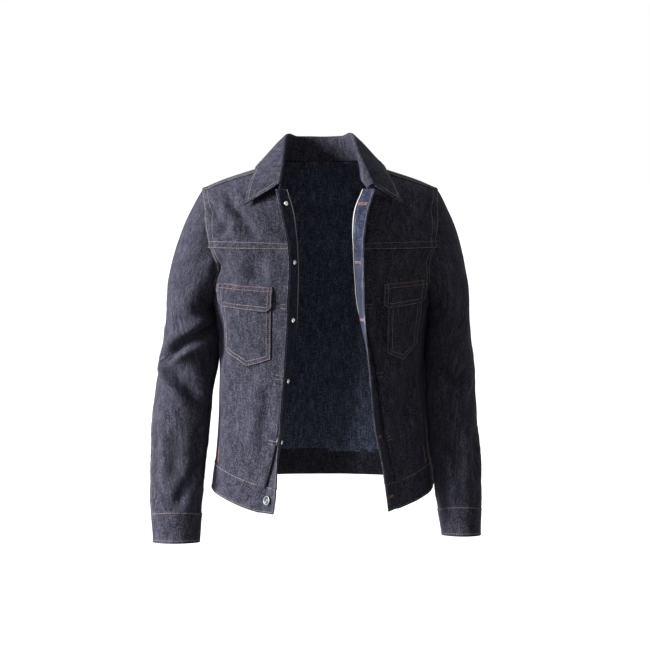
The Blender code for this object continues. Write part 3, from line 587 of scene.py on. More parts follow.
FRONTS = {side: Front(sign, ROLLS[side]) for side, sign in (("right", -1), ("left", 1))}
PLEAT_HEIGHTS = (-0.227, -0.336, -0.439)    # where tacks hold the pleat down
PANEL_CUT = (0.165, 0.385)
PANEL_TOP = YOKE_SEAM + 0.008


def panel_where(front):
    def where(u, v):
        z = mix(CLOTH_END, PANEL_TOP, v)
        below = np.minimum(z, YOKE_SEAM)
        outer = np.minimum(SIDE_SEAM + 1.5, smooth(ARMHOLE[:6], "z", "angle", below))
        angle = mix(ring_angle(front.roll_x(z) + 0.0003, below), outer, u)
        x = smooth(BODY, "z", "half", below) * bent(np.sin(np.radians(angle)))
        return face(front.form, front.roll_x(z) - x, z)
    return where


def panel_lift(front):
    def lift(u, v, base):
        z = mix(CLOTH_END, PANEL_TOP, v)
        up = v * PANEL_CUT[1]
        from_fold = np.abs(base[..., 0] - smooth(BODY, "z", "centre", z)) - front.roll_x(z)
        held = np.max([np.exp(-((z - h) / 0.012) ** 2) for h in PLEAT_HEIGHTS], axis=0)
        pleat = PLEAT_LIFT * near(from_fold, PLEAT_EASE) * (1.25 - 0.35 * held)
        rounded = 0.0007 * near(from_fold, 0.003)
        under_yoke = ease((up - 0.374) / 0.006)
        side = near((1 - u) * 0.16, 0.010)
        under_band = near(up, 0.008) * (1 - pleat / 0.003)
        return drape(base) + pleat - rounded - 0.0015 * under_yoke + 0.0008 * side - 0.0006 * under_band
    return lift


panels = {}
for side, front in FRONTS.items():
    where, lift = panel_where(front), panel_lift(front)
    panels[side] = Cloth(f"front_cloth_{side}", where, PANEL_CUT, lift, "right bottom top")
    panels[side].make(f"front_panel_{side}", FACE, WRONG_SIDE)

# ---------------------------------------------------------------- the front strips below the yokes
# A strip of denim each, from the front edge to just under the pleat. It has rolled outwards with the
# edge of the open front and waves a little along it.
STRIP_TOP = YOKE_SEAM + 0.007
strips = {}
for side, front in FRONTS.items():
    def strip_where(u, v, front=front):
        return face(front.form, mix(STRIP_WIDTH, -0.006, u), mix(CLOTH_END, STRIP_TOP, v))

    def strip_lift(u, v, base):
        wavy = 0.0009 * cloudy(v * 0.39, u * 0.02, 0.034, 21)
        return drape(base) * ease(u) + wavy * (1 - u)

    strips[side] = Cloth(f"strip_{side}", strip_where, (0.038, 0.388), strip_lift, "left")
    strips[side].make(f"placket_{side}", FACE, WRONG_SIDE, cell=0.0025)

# ---------------------------------------------------------------- the front yokes
# Cut from the front edge to the armhole; their lower edge is turned under and sewn down over the
# front and its strip with two rows of thread.
STRIP_FORWARD = 68.0    # the arch angle of the back yoke's front edge
TOP_ARCH = STRIP_FORWARD + 4.0
ARCH_END = 179.6        # the arch's last angle with room for its form's step
NECK_X = 0.074
YOKE_CUT = (0.215, 0.150)
YOKE_EDGE = 0.26        # the share of the width from the front edge to the roll line
YOKE_NECK = 0.70        # the share of the length up to where the neck's curve leaves the front edge
YOKE_LAP = 0.05         # the share of the length that laps over the front


def yoke_where(front):
    first_x = front.roll_x(np.array(YOKE_SEAM))
    neck_x = front.roll_x(np.array(NECK_FRONT_Z))
    neck_arch = arch_at(neck_x, NECK_FRONT_Z)

    def where(u, v):
        v = (v - YOKE_LAP) / (1 - YOKE_LAP)
        strip_z = np.where(v < 0, YOKE_SEAM + v * 0.07, mix(YOKE_SEAM, NECK_FRONT_Z, np.minimum(v / YOKE_NECK, 1)))
        at_edge = face(front.form, STRIP_WIDTH * (1 - u / YOKE_EDGE), strip_z)
        w = np.clip((u - YOKE_EDGE) / (1 - YOKE_EDGE), 0, 1)
        up = np.maximum(v, 0.0)
        share = np.maximum((up - YOKE_NECK) / (1 - YOKE_NECK), 0.0)
        line_x = np.where(up < YOKE_NECK, front.roll_x(strip_z), mix(neck_x, NECK_X, share))
        line_arch = np.where(up < YOKE_NECK, arch_at(line_x, strip_z), mix(neck_arch, TOP_ARCH, share))
        arch = TOP_ARCH * up
        x = mix(mix(first_x, armhole_x(0), w), mix(NECK_X, armhole_x(TOP_ARCH), w), up)
        x += (line_x - mix(first_x, NECK_X, up)) * (1 - w) ** 2
        x += (armhole_x(arch) - mix(armhole_x(0), armhole_x(TOP_ARCH), up)) * w**2
        on_chest = face(front.shoulder, x, np.maximum(arch + (line_arch - arch) * (1 - w) ** 2, 0.31))
        lapped = face(front.form, front.roll_x(strip_z) - x, np.minimum(strip_z, YOKE_SEAM))
        return either(u < YOKE_EDGE, at_edge, either(v < 0.004, lapped, on_chest))
    return where


def yoke_lift(u, v, base):
    width, length = YOKE_CUT
    low = ease(1.25 - v * length / 0.012)
    from_fold = (u - YOKE_EDGE) * width
    pleat = PLEAT_LIFT * 1.2 * near(np.abs(from_fold), PLEAT_EASE) * np.where(from_fold < 0, 0.4, 1.0)
    armhole = 0.0009 * near((1 - u) * width, 0.012)
    under_back = near((1 - v) * length, 0.008) * (u > YOKE_EDGE)
    wavy = 0.0008 * cloudy(v * length, u, 0.030, 22) * near(u, YOKE_EDGE)
    return drape(base) * ease((u - 0.1) / 0.16) + (LAP + pleat) * low + armhole - 0.0012 * under_back + wavy


yokes = {}
for side, front in FRONTS.items():
    yokes[side] = Cloth(f"yoke_{side}", yoke_where(front), YOKE_CUT, yoke_lift, "right bottom", pucker=0.00045)
    yokes[side].make(
        f"front_yoke_{side}", FACE, WRONG_SIDE, cell=0.0028,
        hole=lambda u, v: u < YOKE_EDGE and v > YOKE_LAP + (1 - YOKE_LAP) * YOKE_NECK,
    )

# ---------------------------------------------------------------- the back yoke
# One piece across the back and over both shoulders. In front it ends in a strip sewn down over the
# front yokes with two rows of thread, and at the back it is felled over the back.
Neck = namedtuple("Neck", "along x arch")
NECK = [Neck(0.0, 0.000, 124), Neck(0.4, 0.048, 112), Neck(0.8, 0.074, 90), Neck(1.0, 0.074, 68)]
BACK_YOKE_CUT = (0.440, 0.190)


def back_yoke_where(u, v, lap=0.03):
    v = (v - lap) / (1 - lap)
    up = np.maximum(v, 0.0)
    out = np.abs(2 * u - 1)
    on_neck = np.minimum(out / 0.5, 1.0)
    on_strip = np.maximum((out - 0.5) / 0.5, 0.0)
    first_x, last_x = armhole_x(180), armhole_x(STRIP_FORWARD)
    top_x = np.where(out < 0.5, smooth(NECK, "along", "x", on_neck), mix(NECK_X, last_x, on_strip))
    top_arch = np.where(out < 0.5, smooth(NECK, "along", "arch", on_neck), STRIP_FORWARD)
    arch = mix(180.0, top_arch, up)
    x = mix(first_x * out, top_x, up) + (armhole_x(arch) - mix(first_x, last_x, up)) * out**4
    left, right = (face(FRONTS[side].shoulder, x, np.minimum(arch, ARCH_END)) for side in ("left", "right"))
    sign = np.where(u < 0.5, 1, -1)
    below = face(RING, sign * (180 - ring_angle(x, YOKE_SEAM)), YOKE_SEAM + np.minimum(v, 0) * 0.20)
    return either(v < 0, below, either(u < 0.5, left, right))


def back_yoke_lift(u, v, base):
    width, length = BACK_YOKE_CUT
    out = np.abs(2 * u - 1)
    low, high = (ease(1.3 - away * length / 0.012) for away in (v, 1 - v))
    lapped = np.maximum(low, high * (out > 0.5))
    return drape(base) + LAP * lapped + 0.0009 * near((1 - out) * width / 2, 0.012) * (1 - lapped)


back_yoke = Cloth(
    "back_yoke_cloth", back_yoke_where, BACK_YOKE_CUT, back_yoke_lift, "left right bottom top", pucker=0.00045
)
back_yoke.make("back_yoke", FACE, WRONG_SIDE)

# ---------------------------------------------------------------- the facings
# A strip of the same denim sewn inside each front edge, its face side showing. Its inner edge is the
# cloth's own woven edge, white with one coloured warp thread.
FACING = 0.0010
FACING_GAP = 0.0006     # clear of the front's inner side
facings = {}
for side, front in FRONTS.items():
    def facing_where(u, v, front=front):
        base, normals = face(front.form, mix(STRIP_WIDTH - 0.0006, -0.004, u), mix(WAIST_SEAM, NECK_FRONT_Z, v))
        return base - normals * (CLOTH + FACING_GAP), -normals

    facings[side] = Cloth(
        f"facing_cloth_{side}", facing_where, (0.036, 0.480),
        lambda u, v, base: -0.0009 * cloudy(v * 0.48, u * 0.02, 0.034, 21) * (1 - u), "left", FACING
    )
    facings[side].make(f"facing_{side}", UNWORN, UNWORN, cell=0.0025)

white_edge = new_finish("white self edge with a red thread", Roughness=0.85, Specular_IOR_Level=0.15)
cut = node(white_edge, "UVMap", {"uv_map": "cut"}).outputs["UV"]
from_edge = node(white_edge, "SeparateXYZ", {}, Vector=cut).outputs["X"]
share = node(white_edge, "Math", {"operation": "MULTIPLY_ADD", 1: 111.0, 2: 0.5}, n0=from_edge).outputs[0]
stripe = ramp(
    white_edge, share, (0.0, "#8a8581"), (0.36, "#8d8784"), (0.47, "#8a4c4a"), (0.60, "#887976"),
    (0.85, "#6c6b75"), (1.0, "#4c4d57"),
)
woven = node(white_edge, "TexNoise", {"Scale": 900.0, "Detail": 2.0}, Vector=cut).outputs["Fac"]
tone = node(white_edge, "MixRGB", {"blend_type": "MULTIPLY", "Fac": 0.5}, Color1=stripe, Color2=woven)
bump = node(white_edge, "Bump", {"Strength": 0.5, "Distance": 0.0004}, Height=woven)
feed(white_edge, Base_Color=tone.outputs["Color"], Normal=bump.outputs[0])

selvedges = {}
for side, front in FRONTS.items():
    def selvedge_where(u, v, front=front):
        z = mix(WAIST_SEAM + 0.004, NECK_FRONT_Z - 0.001, v)
        shown = 0.0080 - 0.0058 * ease((-0.130 - z) / 0.200)
        base, normals = face(front.form, shown - 0.008 * u, z)
        return base - normals * (CLOTH + FACING_GAP + FACING), -normals

    selvedges[side] = Cloth(
        f"self_edge_{side}", selvedge_where, (0.008, 0.476),
        lambda u, v, base: 0.0006 + 0.0003 * cloudy(v * 0.47, u * 0.01, 0.009, 81), layer=0.0007
    )
    selvedges[side].make(f"facing_{side}", white_edge, cell=0.0022)

# ---------------------------------------------------------------- the sleeves
# Two pieces each, an upper and an under half, joined by a seam at the back that is felled towards the
# upper half and one inside the arm. The top goes under the body's edge at the armhole.
Sleeve = namedtuple("Sleeve", "z x y half deep")
SLEEVES = {
    "right": [
        Sleeve(-0.245, 0.2275, 0.004, 0.0405, 0.068), Sleeve(-0.290, 0.2272, 0.005, 0.0453, 0.063),
        Sleeve(-0.337, 0.2298, 0.005, 0.0502, 0.058), Sleeve(-0.408, 0.2400, -0.003, 0.0515, 0.053),
        Sleeve(-0.461, 0.2440, -0.014, 0.0500, 0.050), Sleeve(-0.515, 0.2480, -0.028, 0.0475, 0.047),
        Sleeve(-0.568, 0.2500, -0.043, 0.0455, 0.045), Sleeve(-0.600, 0.2495, -0.053, 0.0435, 0.043),
        Sleeve(-0.646, 0.2490, -0.066, 0.0400, 0.040),
    ],
    "left": [
        Sleeve(-0.245, 0.2260, 0.004, 0.0345, 0.070), Sleeve(-0.290, 0.2255, 0.005, 0.0380, 0.066),
        Sleeve(-0.337, 0.2275, 0.005, 0.0425, 0.062), Sleeve(-0.408, 0.2297, -0.003, 0.0438, 0.058),
        Sleeve(-0.461, 0.2330, -0.014, 0.0430, 0.055), Sleeve(-0.515, 0.2388, -0.028, 0.0412, 0.052),
        Sleeve(-0.568, 0.2410, -0.043, 0.0395, 0.048), Sleeve(-0.592, 0.2430, -0.051, 0.0375, 0.046),
        Sleeve(-0.634, 0.2450, -0.063, 0.0335, 0.044),
    ],
}
CUFF_ROW = 7
CAP_DEPTH = 0.150       # unit of the coordinate down the sleeve
CAP_GAP = 0.0022        # between the armhole's edge and the top of the cap
CAP_SUNK = 0.0006       # the cap starts this far under the body's outer face
TOP_IN, TOP_DEEP = 0.006, 0.0028    # how far in and how deep the top runs on under the edge
RING_DEGREE = 0.0028    # metres round the body for each degree, at the armhole
OUTER_SEAM = (-50.0, 16.0)
INNER_SEAM = 196.0
SEAM_LAP = 2.5          # degrees by which each half passes the seam
ARM_DEGREE = math.radians(0.048)    # metres round an arm for each degree
BEND_FOLDS = {          # z, angle around, slope, width, length, depth of the folds at the bent elbow
    "right": [
        (-0.405, 122, -0.60, 0.014, 0.030, -0.004), (-0.290, 185, 0.00, 0.050, 0.042, 0.0046),
    ],
    "left": [
        (-0.365, 110, 0.45, 0.018, 0.055, -0.005), (-0.400, 60, -0.45, 0.016, 0.045, -0.004),
        (-0.500, 100, 0.50, 0.018, 0.045, -0.004),
    ],
}
# Around the sleeve in degrees (0 outer, 90 front, 180 inner, 270 back) and up in metres.
Fold = namedtuple("Fold", "around z to_around to_z width depth lean bow flare", defaults=(1.0,))
SLEEVE_FOLDS = {
    "right": [
        Fold(26, -0.342, 178, -0.270, 0.0065, -0.0110, 0.2, -0.0125, 1.7),
        Fold(0, -0.334, 180, -0.250, 0.0120, 0.0030, 0.0, -0.0125),
        Fold(10, -0.320, 125, -0.414, 0.0080, 0.0072, 0.0, 0.0075),
        Fold(44, -0.322, 138, -0.402, 0.0130, -0.0062, 0.0, 0.005, 1.4),
        Fold(62, -0.332, 178, -0.350, 0.0220, -0.0068, 0.0, 0.000, 1.4),
        Fold(168, -0.500, 84, -0.596, 0.0110, -0.0046, 0.3, 0.006),
        Fold(150, -0.450, 126, -0.505, 0.0110, -0.0018, 0.2, 0.002),
        Fold(38, -0.430, 48, -0.545, 0.0100, -0.0034, 0.4, 0.003),
        Fold(78, -0.435, 88, -0.560, 0.0120, -0.0030, -0.3, -0.003),
        Fold(62, -0.560, 100, -0.588, 0.0070, -0.0026, 0.2, 0.002),
        Fold(150, -0.440, 126, -0.456, 0.0050, -0.0026, 0.0, 0.001),
        Fold(104, -0.128, 152, -0.205, 0.0085, -0.0056, 0.4, -0.003),
        Fold(58, -0.170, 74, -0.300, 0.0150, -0.0020, -0.3, 0.005),
        Fold(22, -0.200, 34, -0.310, 0.0140, -0.0028, 0.3, 0.003),
    ],
    "left": [
        Fold(160, -0.245, 200, -0.248, 0.0130, 0.0040, 0.0, 0.000),
        Fold(48, -0.345, 120, -0.405, 0.0090, -0.0058, 0.3, -0.003),
        Fold(130, -0.335, 88, -0.378, 0.0080, -0.0042, 0.3, 0.003),
        Fold(30, -0.362, 96, -0.428, 0.0100, 0.0036, 0.0, 0.002),
        Fold(140, -0.470, 94, -0.512, 0.0090, -0.0048, 0.3, 0.004),
        Fold(42, -0.440, 50, -0.550, 0.0100, -0.0032, 0.4, 0.003),
        Fold(82, -0.440, 92, -0.560, 0.0120, -0.0028, -0.3, -0.003),
        Fold(98, -0.118, 126, -0.212, 0.0100, -0.0046, 0.4, -0.004),
        Fold(76, -0.135, 106, -0.245, 0.0120, -0.0040, 0.3, -0.005),
        Fold(56, -0.175, 72, -0.300, 0.0140, -0.0028, -0.3, 0.005),
        Fold(120, -0.225, 150, -0.285, 0.0090, -0.0042, 0.3, 0.002),
    ],
}
BACK_FOLDS = [          # at the back of both arms
    Fold(262, -0.120, 236, -0.215, 0.0110, -0.0046, 0.3, 0.004),
    Fold(284, -0.140, 258, -0.250, 0.0120, -0.0038, -0.3, 0.004),
    Fold(310, -0.335, 250, -0.372, 0.0100, -0.0040, 0.3, 0.003),
    Fold(318, -0.368, 258, -0.402, 0.0100, -0.0044, 0.3, -0.003),
    Fold(300, -0.402, 246, -0.430, 0.0095, -0.0038, 0.3, 0.002),
    Fold(232, -0.440, 252, -0.560, 0.0120, -0.0032, 0.3, 0.003),
    Fold(290, -0.455, 276, -0.570, 0.0120, -0.0030, -0.3, -0.003),
]


class Arm:
    """The form of one sleeve, by the angle around it: 0 outer, 90 front, 180 inner, 270 back."""

    def __init__(self, side, rows, bend, folds):
        self.side, self.rows, self.bend = side, rows, bend
        self.folds = [
            Crease(f.around * ARM_DEGREE, f.z, f.to_around * ARM_DEGREE, f.to_z, *f[4:])
            for f in folds + BACK_FOLDS
        ]
        self.sleeve_form = Form(self.point, 0.5, 0.004, side)
        self.cuff_form = Form(self.ring, 0.5, 0.001, -side)

    def armhole(self, around, inside=0.0):
        """On the armhole's edge, or that far inside it on the body's cloth, with the body's normals."""
        around = around % 360
        shoulder = FRONTS["left" if self.side > 0 else "right"].shoulder
        first, last = ARMHOLE[0], ARMHOLE[-1]
        angle, z = smooth_all(ARMHOLE, "around", "angle z", around)
        turn = np.radians(around)
        low = face(RING, self.side * (angle - inside / RING_DEGREE * np.sin(turn)), z + inside * np.cos(turn))
        arch = 90 * np.where(around < first.around, 1 - around / first.around, 1 + (360 - around) / (360 - last.around))
        high = face(shoulder, armhole_x(arch) - inside, np.clip(arch, 180.0 - ARCH_END, ARCH_END))
        return either((around >= first.around) & (around <= last.around), low, high)

    def ring(self, around, z):
        """On the sleeve's own ring; the ring stands square to the arm where the arm leans forward."""
        x, y, half, deep = smooth_all(self.rows, "z", "x y half deep", z)
        lean = (smooth(self.rows, "z", "y", z + 0.01) - smooth(self.rows, "z", "y", z - 0.01)) / 0.02
        forward = points(0 * lean, 0 * lean - 1.0, lean) / np.sqrt(1 + lean**2)[..., None]
        turn = np.radians(around)
        across = points(self.side * (x + half * np.cos(turn)), y, z)
        return across + forward * (deep * np.sin(turn))[..., None]

    def creased(self, point, around, z):
        """The ring's point moved in or out by the elbow's folds."""
        half, deep = smooth_all(self.rows, "z", "half deep", z)
        out = 0.0
        for fold_z, fold_around, slope, width, length, depth in self.bend:
            walk = np.radians(around - fold_around) * (half + deep) / 2
            away = (z - fold_z - walk * slope) / width
            out = out + depth * np.exp(-away**2 - (walk / length) ** 2)
        turn = np.radians(around)
        return point + points(self.side * np.cos(turn), -np.sin(turn), 0 * turn) * out[..., None]

    def point(self, around, down):
        """down is 0 at the armhole and 1 at the first ring; from there it goes on with the depth."""
        around, down = np.broadcast_arrays(np.asarray(around, float), np.asarray(down, float))
        first = self.rows[0].z
        z = first - np.maximum(down - 1, 0.0) * CAP_DEPTH
        tube = self.creased(self.ring(around, z), around, z)
        t = np.clip(down, 0.0, 1.0)[..., None]
        turn = np.radians(around)
        leave = points(self.side * (0.46 + 0.06 * np.cos(turn)), -0.30 * np.sin(turn), -0.62 - 0.2 * np.cos(turn))
        edge, normals = self.armhole(around)
        start = edge + leave / np.linalg.norm(leave, axis=-1, keepdims=True) * CAP_GAP - normals * CAP_SUNK
        under, under_normals = self.armhole(around, TOP_IN)
        under = under - under_normals * TOP_DEEP
        end = self.creased(self.ring(around, first + 0 * around), around, first + 0 * around)
        length = np.linalg.norm(end - start, axis=-1, keepdims=True)
        cap = hermite(t, start, length * leave, end, length * np.array((0.0, 0.0, -0.9)))
        down = down[..., None]
        cap = np.where(down < 0, mix(start, under, np.clip(-down / 0.1, 0, 1)), cap)
        return np.where(down > 1, tube, cap)


ARMS = {
    side: Arm(sign, SLEEVES[side], BEND_FOLDS[side], SLEEVE_FOLDS[side]) for side, sign in (("right", -1), ("left", 1))
}


def outer_seam(down):
    return mix(*OUTER_SEAM, ease(down / 1.8))


def sleeve_down(arm, v):
    """The coordinate down the sleeve at the share v of its cut: under the armhole, the cap, the arm."""
    end = 1 + (arm.rows[0].z - arm.rows[CUFF_ROW].z + 0.004) / CAP_DEPTH
    return np.interp(v, [0.0, 0.014, 0.30, 1.0], [-0.1, 0.0, 1.0, end])


def sleeve_where(arm, start, end):
    def where(u, v):
        down = sleeve_down(arm, v)
        return face(arm.sleeve_form, mix(start(down), end(down), u), down)
    return where


def sleeve_lift(arm, start, end, raised, length):
    def lift(u, v, base):
        down = sleeve_down(arm, v)
        around = mix(start(down), end(down), u)
        z = base[..., 2]
        out = 1.35 * creased(np.where(around < 0, around + 360, around) * ARM_DEGREE, z, arm.folds)
        walk = around * 0.00084
        out += 0.0014 * cloudy(walk, z, 0.055, 31 + arm.side) + 0.0008 * cloudy(walk, z, 0.022, 33)
        out *= ease((down - 0.02) / 0.25) * ease((z - arm.rows[CUFF_ROW].z) / 0.03 + 0.15)
        width = 0.16
        at_seams = near(u * width, 0.008) + near((1 - u) * width, 0.008)
        return out + raised * at_seams - 0.0010 * ease((v - 1) * length / 0.006 + 1)
    return lift


SLEEVE_LENGTH = {"right": 0.560, "left": 0.550}
uppers, unders = {}, {}
for side, arm in ARMS.items():
    length = SLEEVE_LENGTH[side]
    for made, part, start, end, width, raised in (
        (uppers, "upper", lambda d: outer_seam(d) - SEAM_LAP, lambda d: INNER_SEAM + SEAM_LAP + 0 * d, 0.180, 0.0008),
        (unders, "under", lambda d: INNER_SEAM - SEAM_LAP + 0 * d, lambda d: 360 + SEAM_LAP + outer_seam(d),
         0.135, -0.0010),
    ):
        made[side] = Cloth(
            f"sleeve_{part}_cloth_{side}", sleeve_where(arm, start, end), (width, length),
            sleeve_lift(arm, start, end, raised, length), "left right bottom top",
        )
        made[side].make(f"sleeve_{part}_{side}", FACE, WRONG_SIDE)

# ---------------------------------------------------------------- the cuffs
# A folded band of denim round each wrist, 46 mm deep, stitched round its edges and closed with one
# button at the back, where its end laps over its beginning.
BAND = 0.0024
PROUD = 0.0006
CUFF_CUT = (0.280, 0.046)
CUFF_START, CUFF_TURN = -75.0, 380.0


def turned_in(v, depth):
    """How much thicker a band is where its bottom and top edges are turned in."""
    return 0.0004 * (np.exp(-(v * depth / 0.0022) ** 2) + np.exp(-((1 - v) * depth / 0.0022) ** 2))


def cuff_where(arm):
    def where(u, v):
        return face(arm.cuff_form, CUFF_START + CUFF_TURN * u, mix(arm.rows[-1].z, arm.rows[CUFF_ROW].z + 0.0015, v))
    return where


def cuff_lift(u, v, base):
    uneven = 0.0006 * cloudy(base[..., 0] + base[..., 1], base[..., 2], 0.030, 41)
    lapped = (BAND + 0.0008) * ease((CUFF_TURN * u - 344) / 14)
    return PROUD + lapped + uneven + turned_in(v, CUFF_CUT[1])


cuffs = {}
for side, arm in ARMS.items():
    cuffs[side] = Cloth(
        f"cuff_band_{side}", cuff_where(arm), CUFF_CUT, cuff_lift, "left right bottom top", BAND, 0.0004
    )
    cuffs[side].make(f"cuff_{side}", FACE, cell=0.0024, rounded=0.0009)

# ---------------------------------------------------------------- the waistband
# One folded band, 47 mm deep, from the right front edge round the back to the left front edge. The
# fronts and the back are caught between its two layers.
WAIST_HEIGHT = 0.047


def waistband_where(u, v, edge_share=0.036):
    z = mix(WAIST_SEAM - WAIST_HEIGHT, WAIST_SEAM + 0.001, v)
    right, left = FRONTS["right"], FRONTS["left"]
    start, end = -ring_angle(right.roll_x(z), z), ring_angle(left.roll_x(z), z) - 360
    around = face(RING, mix(start, end, np.clip((u - edge_share) / (1 - 2 * edge_share), 0, 1)), z)
    at_right = face(right.form, STRIP_WIDTH * (1 - u / edge_share), z)
    at_left = face(left.form, STRIP_WIDTH * (1 - (1 - u) / edge_share), z)
    return either(u < edge_share, at_right, either(u > 1 - edge_share, at_left, around))


def waistband_lift(u, v, base):
    uneven = 0.0009 * cloudy(base[..., 0], base[..., 2] + base[..., 1], 0.045, 51) * ease(np.minimum(u, 1 - u) / 0.05)
    return PROUD + drape(base) * v * 0.8 + turned_in(v, WAIST_HEIGHT) + uneven + 0.0002


waistband = Cloth(
    "waistband_cloth", waistband_where, (0.890, WAIST_HEIGHT), waistband_lift, "left right bottom top", BAND, 0.0004
)
waistband.make("waistband", FACE, cell=0.0026, rounded=0.0009)

# ---------------------------------------------------------------- the collar
# One double piece folded over: the stand against the neck and the fall on the shoulders, its edges
# stitched 6 mm in.
Collar = namedtuple("Collar", "along base_x base_y base_z fold_x fold_y fold_z edge_x edge_y edge_z")
COLLAR = [
    Collar(-1.00, -0.0680, -0.1040, -0.0345, -0.0690, -0.1080, -0.0290, -0.1270, -0.1010, -0.0620),
    Collar(-0.88, -0.0655, -0.0820, -0.0200, -0.0645, -0.0900, -0.0040, -0.1210, -0.0880, -0.0360),
    Collar(-0.72, -0.0680, -0.0440, 0.0010, -0.0620, -0.0480, 0.0250, -0.1130, -0.0580, -0.0130),
    Collar(-0.50, -0.0700, 0.0120, 0.0110, -0.0585, 0.0120, 0.0520, -0.1040, 0.0100, 0.0060),
    Collar(-0.25, -0.0450, 0.0550, 0.0100, -0.0390, 0.0640, 0.0500, -0.0640, 0.0930, -0.0010),
    Collar(0.00, 0.0000, 0.0730, 0.0090, 0.0000, 0.0800, 0.0490, 0.0000, 0.1120, -0.0030),
    Collar(0.25, 0.0450, 0.0550, 0.0100, 0.0380, 0.0640, 0.0510, 0.0640, 0.0930, -0.0010),
    Collar(0.50, 0.0700, 0.0120, 0.0110, 0.0560, 0.0120, 0.0550, 0.1040, 0.0100, 0.0060),
    Collar(0.72, 0.0690, -0.0440, 0.0010, 0.0645, -0.0480, 0.0270, 0.1170, -0.0580, -0.0130),
    Collar(0.88, 0.0705, -0.0820, -0.0200, 0.0770, -0.0900, -0.0040, 0.1300, -0.0880, -0.0350),
    Collar(1.00, 0.0800, -0.1040, -0.0335, 0.0870, -0.1080, -0.0285, 0.1400, -0.0980, -0.0590),
]
COLLAR_CUT = (0.440, 0.105)
COLLAR_FOLD = 0.0030    # half the distance between stand and fall at the fold
STAND, FALL = 0.375, 0.625      # where v leaves the stand and where the fall begins


def collar_point(u, v):
    """v runs from the neck seam up to the fold and down the fall to its edge."""
    u, v = np.broadcast_arrays(np.clip(u, 0.0, 1.0), np.clip(v, 0.0, 1.0))
    base, fold, edge = (
        np.stack([smooth(COLLAR, "along", f"{end}_{axis}", 2 * u - 1) for axis in "xyz"], axis=-1)
        for end in ("base", "fold", "edge")
    )
    away = (edge - base) * (1, 1, 0)
    away /= np.linalg.norm(away, axis=-1, keepdims=True)
    up = (fold - base) / np.linalg.norm(fold - base, axis=-1, keepdims=True)
    v = v[..., None]
    turn = math.pi * np.clip((v - STAND) / (FALL - STAND), 0.0, 1.0)
    crown = fold - away * COLLAR_FOLD * np.cos(turn) + up * COLLAR_FOLD * np.sin(turn)
    stand = mix(base, fold - away * COLLAR_FOLD, v / STAND)
    fall = mix(fold + away * COLLAR_FOLD, edge, (v - FALL) / (1 - FALL))
    return np.where(v < STAND, stand, np.where(v > FALL, fall, crown))


COLLAR_FORM = Form(collar_point, 0.004, 0.004, 1)


def collar_lift(u, v, base):
    """Half its thickness, a gentle roll of the fall, and its turned edges a little thicker."""
    fall = ease((v - 0.55) / 0.2) * ease((1 - v) / 0.3)
    ends = np.minimum(u, 1 - u) * COLLAR_CUT[0]
    bow = 0.0016 * fall * ease(ends / 0.06)
    uneven = 0.0008 * cloudy(u * COLLAR_CUT[0], v * 0.1, 0.040, 61) * ease((v - 0.3) / 0.2)
    edges = np.maximum(np.exp(-(ends / 0.003) ** 2) * (v > 0.55), np.exp(-((1 - v) * 0.085 / 0.003) ** 2))
    return BAND / 2 + bow + uneven + 0.0004 * edges


def collar_share(v):
    """The form's v at a share of the cut: a 38 mm stand, the fold, and a 60 mm fall."""
    return np.interp(v, [0.0, 0.37, 0.46, 1.0], [0.0, STAND, FALL, 1.0])


collar = Cloth(
    "collar_cloth", lambda u, v: face(COLLAR_FORM, u, collar_share(v)), COLLAR_CUT,
    lambda u, v, base: collar_lift(u, collar_share(v), base), "left right top", BAND, 0.0003
)
collar.make("collar", FACE, cell=0.0024, rounded=0.0009)

# ---------------------------------------------------------------- the chest pockets and their flaps
# A patch of denim laid on each front, pointed at the bottom and open under its flap. The flap is sewn
# on above the pocket's mouth and hangs over it, with its lower corners cut off.
Pocket = namedtuple("Pocket", "inner outer top inner_z tip_z outer_z")
POCKETS = {
    "right": Pocket(0.083, 0.166, -0.215, -0.310, -0.3275, -0.308),
    "left": Pocket(0.112, 0.167, -0.211, -0.304, -0.320, -0.298),
}
Flap = namedtuple("Flap", "inner outer inner_z outer_z height cut")
FLAPS = {
    "right": Flap(0.082, 0.176, -0.1965, -0.194, 0.041, 0.009),
    "left": Flap(0.103, 0.177, -0.192, -0.188, 0.041, 0.009),
}
LAID = 0.0014           # how far the patch stands over the front, with the turned seam under its edge


def patch_where(front, inner, outer, bottom, top, wider=0.0):
    def where(u, v):
        z = mix(bottom(u), top(u), v)
        return face(front.form, front.roll_x(z) - mix(inner, outer + wider * v, u), z)
    return where


def pocket_lift(u, v, base):
    full = 0.0004 * np.sin(u * math.pi) * np.sin(v * math.pi)
    return drape(base) + LAID + full + 0.0004 * cloudy(u * 0.08, v * 0.1, 0.016, 71)


def flap_lift(u, v, base):
    hung = 0.0022 * ease((1 - v) / 0.35)
    uneven = 0.0005 * cloudy(u * 0.1, v * 0.04, 0.018, 73)
    return drape(base) + LAID + hung + uneven - 0.0008 * near((1 - v) * 0.042, 0.004)


